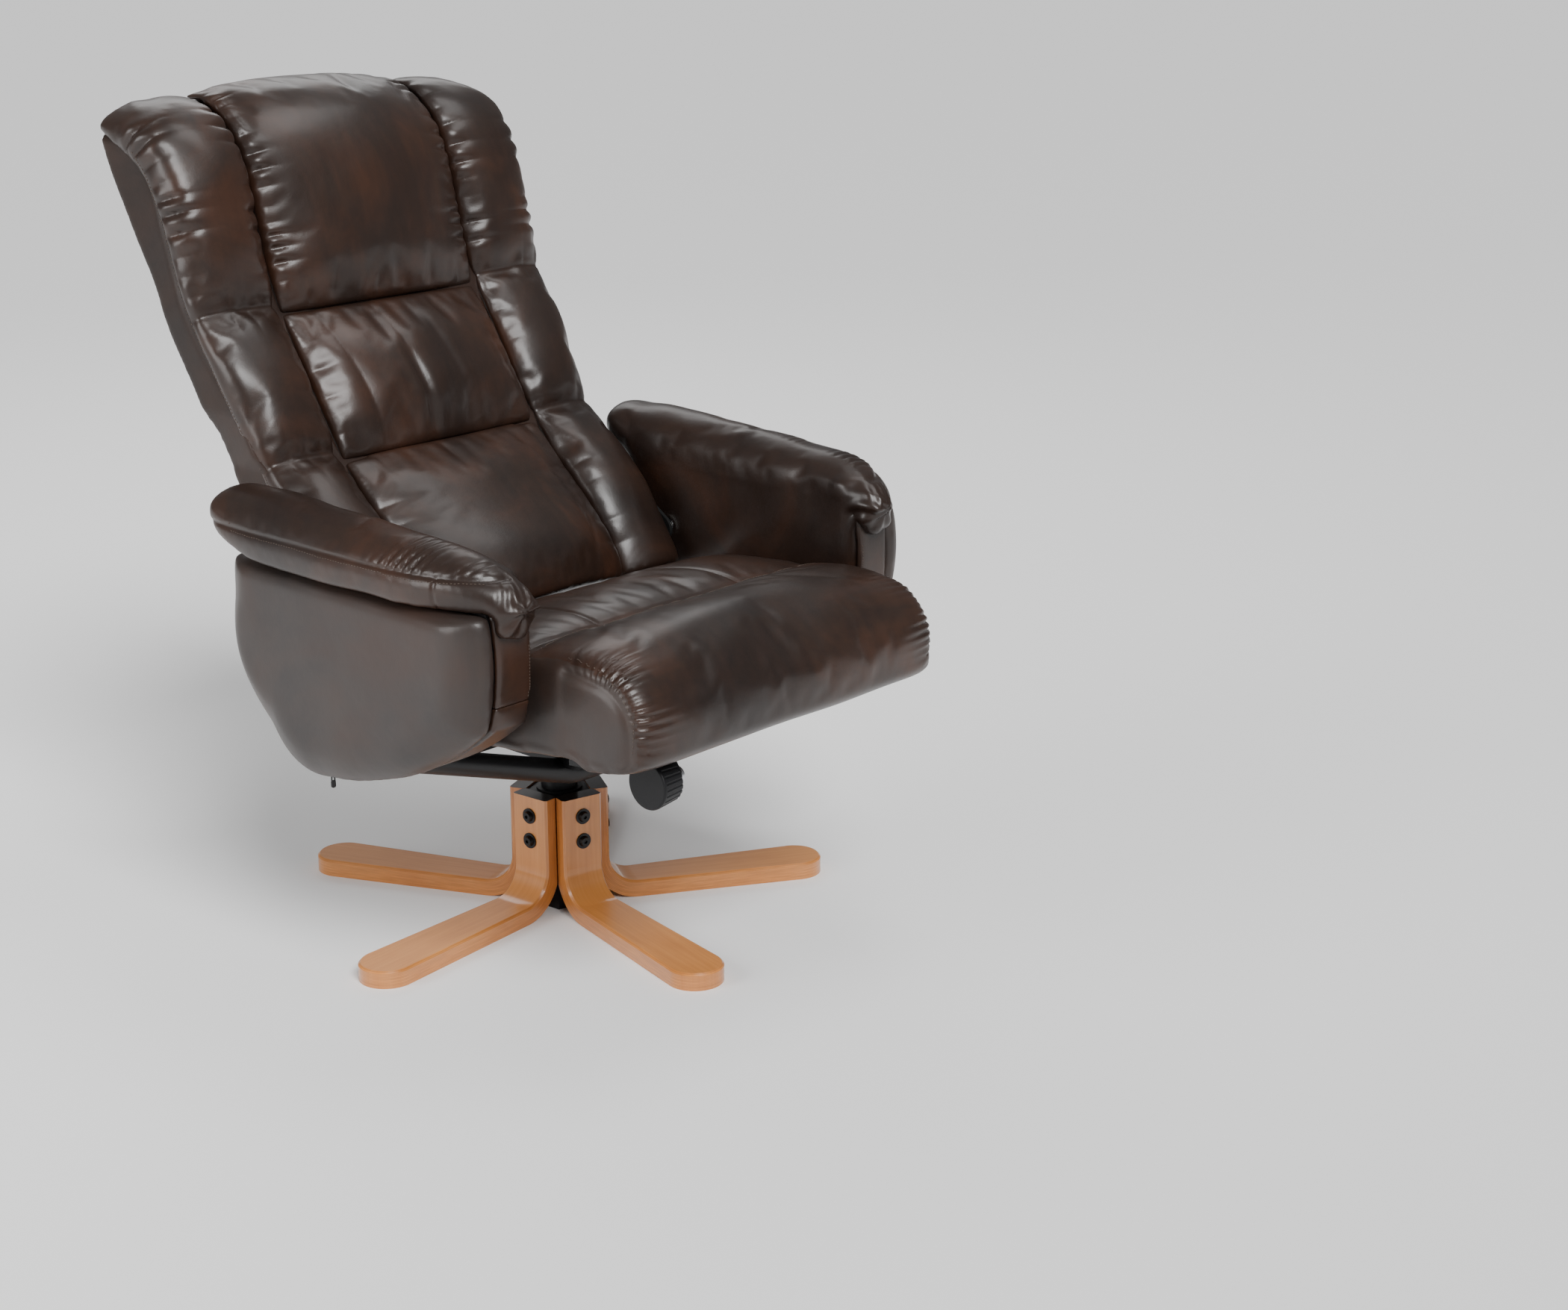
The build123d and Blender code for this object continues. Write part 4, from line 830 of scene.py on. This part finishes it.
# %% Sew and stuff the three middle pads
HALF_MIDDLE = 0.159
LUMBAR_FROM, LUMBAR_TO = 0.315, 0.575
for name, block, low, high, fill, slack in [
    ("head_pad_cover", "head_pad", LUMBAR_TO, 1.0, 0.8, 0.010),
    ("lumbar_pad_cover", "lumbar_pad", LUMBAR_FROM, LUMBAR_TO, 0.6, 0.016),
    ("lower_pad_cover", "lower_back_pad", 0.0, LUMBAR_FROM, 0.6, 0.010),
]:
    pad = skin_over(name, block, cell=0.005, soften=5)
    push(pad, 0.0018)
    points = points_of(pad)
    share, height = up_the_back(points)
    from_side = HALF_MIDDLE - np.abs(points[:, 0])
    edge = np.minimum(from_side, np.minimum(share - low, high - share) * BACK_LENGTH)
    stuff(pad, (edge < 0.007) | (height < 0.004), limit=0.014, slack=slack)
    finer(pad)
    points = points_of(pad)
    x = points[:, 0]
    share, height = up_the_back(points)
    along = share * BACK_LENGTH
    from_side = np.maximum(HALF_MIDDLE - np.abs(x), 0)
    from_low = np.maximum((share - low) * BACK_LENGTH, 0)
    from_high = np.maximum((high - share) * BACK_LENGTH, 0)
    change = rumple(points, 0.13, 0.0010, seed=3)
    if name == "head_pad_cover":
        pucker = gathers(from_side, along, 0.0030, 0.030, 0.0200, 2.0)
        change += pucker * within(share, 0, 0.95, 0.03)
        corner = within(np.abs(x), 0.128, 1, 0.026) * within(share, 0.92, 2, 0.07)
        change -= 0.004 * corner
        change += gathers(from_low, x, 0.0010, 0.03, 0.04, 1.0)
    elif name == "lumbar_pad_cover":
        strong = np.exp(-(((x + 0.018 + 0.10 * (share - 0.4)) / 0.007) ** 2))
        change -= 0.0035 * strong * within(share, low, 0.46, 0.05)
        faint = np.exp(-(((x - 0.045 + 0.10 * (share - 0.4)) / 0.009) ** 2))
        change -= 0.0022 * faint * within(share, low, 0.52, 0.05)
        change += gathers(from_low, x, 0.0013, 0.20, 0.047, 0.4, 0.12)
        change += gathers(from_side, along, 0.0012, 0.03, 0.03, 4.0)
    else:
        change += gathers(from_high, x, 0.0012, 0.05, 0.06, 0.9)
        curve = np.abs(x - 0.085 - 0.045 * np.sin(pi * np.clip(share / high, 0, 1)))
        change -= 0.0016 * np.exp(-((curve / 0.007) ** 2)) * within(share, 0.04, 0.27, 0.04)
        change += gathers(from_side, along, 0.0012, 0.04, 0.034, 3.0)
    push(pad, change * within(height, 0.004, 1, 0.006))
    finish_cover(pad, "backrest", hide)

# %% [markdown]
# ## Bolsters
# Each side of the back has a stuffed roll from the arm to the top. Its outer edge wraps round
# the frame and meets the rear cover at a stitched seam on the side. A bar that follows the
# frame is fused in for that, and it closes the shoulder at the top too. Each ring of the bar
# has six corners, whose places change on the way up.

# %% Lay out the wrap round the frame
WRAP_AT = [0.08, 0.30, 0.50, 0.62, 0.74, 0.84, 0.90, 0.95, 1.0]
WRAP_LOW = [-0.017, -0.020, -0.014, -0.012, -0.013, -0.022, -0.033, -0.036, -0.029]
# heights of the bar's front at its outer edge, 22 and 45 mm in, and at its inner edge
WRAP_TOPS = [
    [0.006, 0.006, 0.006, 0.006, 0.010, 0.010, 0.010, -0.010, -0.024],
    [0.011, 0.011, 0.011, 0.012, 0.016, 0.016, 0.018, 0.005, -0.007],
    [0.016, 0.016, 0.016, 0.018, 0.022, 0.020, 0.020, 0.012, 0.003],
    [0.016, 0.016, 0.016, 0.018, 0.022, 0.018, 0.015, 0.010, 0.006],
]
WRAP_INNER_X = [0.230, 0.230, 0.230, 0.230, 0.230, 0.220, 0.195, 0.178, 0.168]
WRAP_PROUD = 0.0022
SIDES = (("right", -1), ("left", 1))


def wrap_round(side):
    """The rings of the bar on one side."""
    rings = []
    for share in np.linspace(WRAP_AT[0], WRAP_AT[-1], 50):
        out = frame_half(share) + WRAP_PROUD
        across = (out, out - 0.022, out - 0.045, np.interp(share, WRAP_AT, WRAP_INNER_X))
        low, *tops = (np.interp(share, WRAP_AT, each) for each in (WRAP_LOW, *WRAP_TOPS))
        ring = [(across[3], low), (out, low), *zip(across, tops)]
        rings.append((share, *((side * x, height) for x, height in ring)))
    return rings


print("wrap of", len(wrap_round(1)), "rings")

# %% [markdown]
# A bolster is sewn across twice, a third of the way up and again above the middle. Its outer
# seam follows a curve, so the leather gathers there, most of all near the top where the roll
# turns over. Beside the head pad the inner edge is gathered too. The foot is a little fuller
# on the outside, but cut off short of the arm.

# %% Sew and stuff the bolsters
BOLSTER_SEAMS = (0.33, 0.59)
BOLSTER_INNER = 0.160
FOOT_FULLER = 0.0065
for side_name, side in SIDES:
    name, block = f"bolster_cover_{side_name}", f"bolster_{side_name}"
    roll = skin_over(name, block, cell=0.005, soften=0, bar=wrap_round(side))
    points = points_of(roll)
    share, height = up_the_back(points)
    foot = within(-share, -0.30, 1, 0.05) * within(height, 0.004, 1, 0.008)
    foot *= within(np.abs(points[:, 0]), 0.225, 1, 0.025)
    points = narrow(points, share)
    points[:, 0] += side * FOOT_FULLER * foot
    place_points(roll, points)
    relax(roll, 9)
    push(roll, 0.0016)
    points = points_of(roll)
    share, height = up_the_back(points)
    seam = np.min([np.abs(share - s) for s in BOLSTER_SEAMS], axis=0) * BACK_LENGTH
    stuff(roll, (seam < 0.006) | (height < 0.003), limit=0.014)
    finer(roll)
    points = points_of(roll)
    share, height = up_the_back(points)
    along = share * BACK_LENGTH
    most = np.interp(share, [0.34, 0.42], [0.2710, 0.30])
    points[:, 0] = np.clip(points[:, 0], -most, most)
    place_points(roll, points)
    from_out = np.maximum(half_width(share) - np.abs(points[:, 0]), 0)
    from_out += np.maximum(height - np.interp(share, WRAP_AT, WRAP_LOW) - 0.004, 0)
    from_in = np.maximum(np.abs(points[:, 0]) - BOLSTER_INNER, 0)
    seam = np.min([np.abs(share - s) for s in BOLSTER_SEAMS], axis=0) * BACK_LENGTH
    change = rumple(points, 0.10, 0.0010, seed=7 + side)
    head = within(share, 0.64, 0.93, 0.05)
    change += head * gathers(from_out, along, 0.0042, 0.068, 0.024, 1.2 + side)
    change += head * gathers(from_in, along, 0.0030, 0.036, 0.025, 5.0 + side)
    change += (1 - head) * gathers(from_in, along, 0.0010, 0.03, 0.033, 2.0 + side)
    change += gathers(seam, points[:, 0], 0.0008, 0.035, 0.030, 2.0 + side)
    change += groove(seam, 0.0015, 0.004, 0.002, 0.012)
    push(roll, change * within(from_out, 0.003, 1, 0.006))
    finish_cover(roll, "backrest", hide)

# %% [markdown]
# ## Rear cover
# Behind the pads one cover closes the back: flat side gussets and a smooth rear panel.
# Nothing stuffs it, so it is only laid over the frame and pulled tight, a little tighter
# where the bolsters wrap over it.

# %% Sew the rear cover
TUCK = 0.0042
rear = skin_over("rear_cover", "back_shell", cell=0.0035, soften=2)
points = points_of(rear)
share, height = up_the_back(points)
place_points(rear, narrow(points, share))
relax(rear, 3)
points = points_of(rear)
under = within(height, -0.014, 1, 0.008) * within(share, 0.5, 1.2, 0.05)
under *= 0.4 + 0.6 * within(np.abs(points[:, 0]), 0.165, 1, 0.02)
push(rear, rumple(points, 0.16, 0.0010, seed=11) - TUCK * under)
finish_cover(rear, "backrest", hide_rear)

# %% [markdown]
# ## Seat
# Cushion and base are one T-shaped cover: a flat top panel, a stuffed roll across the
# front edge, and a side panel that runs right down over the frame. The roll is sewn
# to the top panel by a seam from side to side, and its underside hangs a little fuller
# than the frame. Only the roll and the top up to the back are stuffed, the sides stay flat.

# %% Stuff the seat
SEAT_HALF = 0.263  # from the middle to the side panels
ROLL_SEAM = -0.205  # y of the seam between top panel and roll
SIDE_SEAM = 0.118  # x of the two seams in the top panel
seat = skin_over("seat_cover", "seat_cushion", "seat_base_cover", cell=0.005)
push(seat, 0.0040 * within(-normals_of(seat)[:, 2], 0.3, 2, 0.2))
points = points_of(seat)
below_roll = within(-points[:, 1], 0.312, 1, 0.02) * within(-points[:, 2], -0.362, 0, 0.02)
points[:, 2] -= 0.010 * below_roll
place_points(seat, points)
points, normals = points_of(seat), normals_of(seat)
x, y, z = points.T
free = (np.abs(x) < SEAT_HALF - 0.008) & (y < 0.0)
free &= (normals[:, 2] > 0.3) | ((normals[:, 1] < -0.25) & (z > 0.345))
cross = np.abs(y - ROLL_SEAM)
stuff(seat, ~free | ((normals[:, 2] > 0.3) & (cross < 0.006)), limit=0.014, slack=0.006)
finer(seat)
print("seat points free to swell", int(free.sum()))

# %% [markdown]
# The roll is gathered into its end seams, which run from the cross seam over the front edge
# and down. Along such an edge the place is an angle round the roll, so the pleats are
# spaced by that. The faces that look sideways at either side get the side leather, which is
# painted greyer as a sheen.

# %% Sew the seat
ROLL_AXIS = (-0.345, 0.385)  # y and z
ROLL_RADIUS = 0.075
points, normals = points_of(seat), normals_of(seat)
x, y, z = points.T
top = within(normals[:, 2], 0.25, 2, 0.15)
cross = np.abs(y - ROLL_SEAM)
change = rumple(points, 0.15, 0.0010, seed=5)
change += top * groove(cross, 0.0024, 0.0032, 0.002, 0.016)
behind = within(y - ROLL_SEAM, 0, 1, 0.004)
side_seam = np.abs(np.abs(x) - SIDE_SEAM)
change += top * behind * groove(side_seam, 0.0016, 0.003, 0.001, 0.012)
in_front = np.maximum(ROLL_SEAM - y, 0)
change += top * gathers(in_front, x, 0.0010, 0.05, 0.07, 2.2)
# end seams of the roll, and their pleats on the roll's side only
end_seam = SEAT_HALF - np.abs(x)
turn = np.arctan2(z - ROLL_AXIS[1], ROLL_AXIS[0] - y)
on_roll = within(-y, 0.285, 2, 0.012) * within(normals[:, 2], -0.6, 2, 0.2)
from_end = np.maximum(end_seam - 0.004, 0)
change += on_roll * gathers(from_end, turn * ROLL_RADIUS, 0.0030, 0.046, 0.0135, 1.1)
change += on_roll * groove(end_seam - 0.004, 0.0025, 0.003, 0.002, 0.01)
push(seat, change)
finish_cover(seat, "seat", hide)
side_points = np.array([face.center[:] for face in seat.data.polygons])
side_normals = np.array([face.normal[:] for face in seat.data.polygons])
seat.data.materials.append(hide_side_painted_sheen)
# faces that look sideways get the side leather, painted greyer as a sheen
sheen_side_faces = np.abs(side_normals[:, 0]) > 0.55
sheen_side_faces &= np.abs(side_points[:, 0]) > SEAT_HALF - 0.012
seat.data.polygons.foreach_set("material_index", sheen_side_faces.astype(np.int32))
print("seat faces", len(side_points), "of them on the side panels", int(sheen_side_faces.sum()))

# %% [markdown]
# ## Arms
# An arm is a board wrapped in leather: a padded panel outside, a border round the edge, a
# strip down the front, and one cover that starts as a roll along the top, bunches over
# the front, and runs down the inside to the seat without a seam. The roll and the inside
# are two solids, so the hollow between them is filled on the seat's side first.

# %% A helper that makes one sheet of roll and lining
BAND_TOP = 0.537  # height of the stitched seam along the outside of the roll


def one_sheet(cover, side):
    """Draw the seat's side of an arm cover out to one even sheet."""
    points = points_of(cover)
    x, y, z = np.abs(points[:, 0]), points[:, 1], points[:, 2]
    inner = np.interp(z, [0.25, 0.40, 0.47, 0.53, 0.55], [0.279, 0.2785, 0.275, 0.2735, 0.2735])
    sheet = within(y, -0.240, 0.150, 0.010) * within(z, 0.24, 0.538, 0.006) * (x < 0.292)
    x = x + sheet * (np.minimum(x, inner) - x)
    points[:, 0] = side * x
    place_points(cover, points)
    relax(cover, 8, within(z, 0.40, 0.545, 0.02) * (x < 0.285))


print("band up to", BAND_TOP, "m")

# %% [markdown]
# Outside, the roll has an even band below a stitched seam with one short seam across it, and
# above that seam the leather is gathered towards the front. Over the knuckle the folds fan
# out, and the nose above it has fine pleats.

# %% A helper that sews the long cover of an arm
KNUCKLE = (0.3050, -0.2625, 0.492)
BAND_CROSS = -0.198  # y of the short seam across the band


def sew_arm_cover(side_name, side):
    """The one cover from the roll over the front and down the inside."""
    knuckle = (side * KNUCKLE[0], *KNUCKLE[1:])
    blocks = (f"arm_roll_{side_name}", f"arm_liner_{side_name}")
    lumps = [(knuckle, (0.0280, 0.0150, 0.0240))]
    cover = skin_over(f"arm_cover_{side_name}", *blocks, soften=4, lumps=lumps)
    one_sheet(cover, side)
    points, normals = points_of(cover), normals_of(cover)
    low_part = (points[:, 2] < 0.512) | (normals[:, 2] < -0.2)
    seam = np.abs(points[:, 2] - BAND_TOP)
    outer = normals[:, 0] * side > 0.3
    stuff(cover, (outer & (seam < 0.004)) | low_part, limit=0.007, slack=0.004)
    finer(cover)
    points, normals = points_of(cover), normals_of(cover)
    x, y, z = points.T
    outer = within(normals[:, 0] * side, -0.15, 2, 0.15) * within(y, -0.262, 0.19, 0.01)
    above = z - BAND_TOP
    change = rumple(points, 0.10, 0.0009, seed=21 + side)
    change += outer * groove(np.abs(above), 0.0022, 0.0028, 0.0016, 0.009)
    forward = within(-y, 0.10, 0.225, 0.035)
    folds = gathers(np.maximum(above, 0), y, 0.0026, 0.026, 0.0125, 3 + side, 0.4)
    change += outer * forward * folds * (above > 0)
    on_band = within(normals[:, 0] * side, 0.3, 2, 0.1) * within(-above, 0, 0.04, 0.003)
    change += on_band * groove(np.abs(y - BAND_CROSS), 0.0015, 0.0022, 0, 0.01)
    # folds that fan out over the knuckle at the front
    reach = points - np.array(knuckle)
    near = np.linalg.norm(reach / np.array([0.046, 0.034, 0.036]), axis=1)
    fan = np.sin(7 * np.arctan2(reach[:, 2] - 0.01, side * reach[:, 0]) + 2 * np.sin(near * 4))
    change += 0.0015 * fan * np.exp(-(near**4)) * within(-y, 0.240, 1, 0.01)
    # fine pleats on the nose
    nose = within(-y, 0.262, 1, 0.008) * within(z, 0.505, 0.55, 0.01)
    change += 0.0006 * nose * np.sin(x * 2 * pi / 0.0095 + 3 * np.sin(z * 90))
    push(cover, change)
    finish_cover(cover, "carriage", hide)


print("knuckle at", KNUCKLE)

# %% [markdown]
# The panel outside is padded tight and smooth, so it needs no cloth, only a slight swell. The
# border and the front strip are flat bands of leather. Both arms are mirror images, and
# each fold's place wanders with the side, so that they don't look copied.

# %% Dress both arms
for side_name, side in SIDES:
    sew_arm_cover(side_name, side)
    name, block = f"arm_side_cover_{side_name}", f"arm_outer_panel_{side_name}"
    panel = skin_over(name, block, soften=8)
    push(panel, 0.0015 + rumple(points_of(panel), 0.16, 0.0009, seed=31 + side))
    # the outer panel gets the side leather, painted greyer as a sheen
    finish_cover(panel, "carriage", hide_side_painted_sheen)
    for part, block in (("border", "arm_border"), ("front_strip", "arm_front_strip")):
        name = f"arm_{part}_cover_{side_name}"
        trim = skin_over(name, f"{block}_{side_name}", cell=0.0035, soften=3)
        finish_cover(trim, "carriage", hide)

# %% [markdown]
# ## Stitches
# A sewn seam shows as a row of short raised threads, a shade lighter than the leather. Each
# one here is a small stretched ball laid along a line. The line is only roughly known, so
# every stitch looks for the nearest point of the leather first and lies down on it.

# %% A helper that sews a row of stitches
thread, _ = new_material("brown_thread", Base_Color=(0.085, 0.060, 0.045, 1), Roughness=0.55)
STITCH = 0.0032
THREAD_RADIUS = 0.00042
STITCH_LIFT = 0.0003


def sew(name, body, host, corners, pitch=0.0046):
    """A row of stitches along a line of corners, laid on the nearest leather of the host."""
    hull = bmesh.new()
    hull.from_mesh(bpy.data.objects[host].data)
    tree = BVHTree.FromBMesh(hull)
    corners = np.asarray(corners, float)
    marks = np.concatenate([[0], np.cumsum(np.linalg.norm(np.diff(corners, axis=0), axis=1))])
    row = np.arange(pitch / 2, marks[-1], pitch)
    places = np.stack([np.interp(row, marks, corners[:, axis]) for axis in range(3)], axis=1)
    landed = [tree.find_nearest(Vector(place)) for place in places]
    hull.free()
    seam = bmesh.new()
    earlier, later = landed[:1] + landed, landed[1:] + landed[-1:]
    for before, (spot, normal, _, _), after in zip(earlier, landed, later):
        way = (after[0] - before[0]).normalized()
        aside = normal.cross(way).normalized()
        ball = bmesh.ops.create_icosphere(seam, subdivisions=1, radius=1)
        for vert in ball["verts"]:
            u, v, w = vert.co
            vert.co = (
                spot + normal * STITCH_LIFT
                + way * u * STITCH / 2 + aside * v * THREAD_RADIUS + normal * w * THREAD_RADIUS
            )
    piece = object_of(seam, name)
    paint(piece, thread)
    piece.data.shade_smooth()
    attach(piece, body)
    return len(landed)


print("thread", thread.name, 1000 * STITCH, "mm a stitch")

# %% [markdown]
# Thread shows along the side of the back, along the band of each arm, down the front strips,
# and where the seat's roll meets its side and top panels. Each line is a list of corners.

# %% Sew the visible seams
# y and z of the seam round the end of the roll
ROLL_END = [(ROLL_SEAM - 0.08, 0.46), (-0.335, 0.448), (-0.375, 0.42), (-0.395, 0.385)]
ROLL_END += [(-0.39, 0.35)]
sewn = 0
for side_name, side in SIDES:
    shares = np.linspace(0.12, 0.88, 40)
    gusset_line = [on_the_back(side * 0.290, share, -0.013) for share in shares]
    host = f"bolster_cover_{side_name}"
    sewn += sew(f"stitches_back_{side_name}", "backrest", host, gusset_line)
    band_line = [(side * 0.39, y, BAND_TOP + 0.002) for y in np.linspace(0.15, -0.17, 12)]
    band_line += [(side * 0.36, -0.215, BAND_TOP), (side * 0.33, -0.25, BAND_TOP - 0.003)]
    sewn += sew(f"stitches_roll_{side_name}", "carriage", f"arm_cover_{side_name}", band_line)
    strip_line = [(side * 0.2815, -0.27, 0.458), (side * 0.2815, -0.27, 0.395)]
    host = f"arm_front_strip_cover_{side_name}"
    sewn += sew(f"stitches_strip_{side_name}", "carriage", host, strip_line, pitch=0.0038)
    end_line = [(side * 0.262, y, z) for y, z in ROLL_END]
    sewn += sew(f"stitches_seat_end_{side_name}", "seat", "seat_cover", end_line)
cross_line = [(x, ROLL_SEAM, 0.5) for x in np.linspace(-0.25, 0.25, 40)]
sewn += sew("stitches_seat_cross", "seat", "seat_cover", cross_line)
print(sewn, "stitches")

# %% [markdown]
# ## Finish
# The last cell measures the dressed chair and notes its box.

# %% Note the box
low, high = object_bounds()
print("visual", [round(v, 4) for v in (*low, *high)])
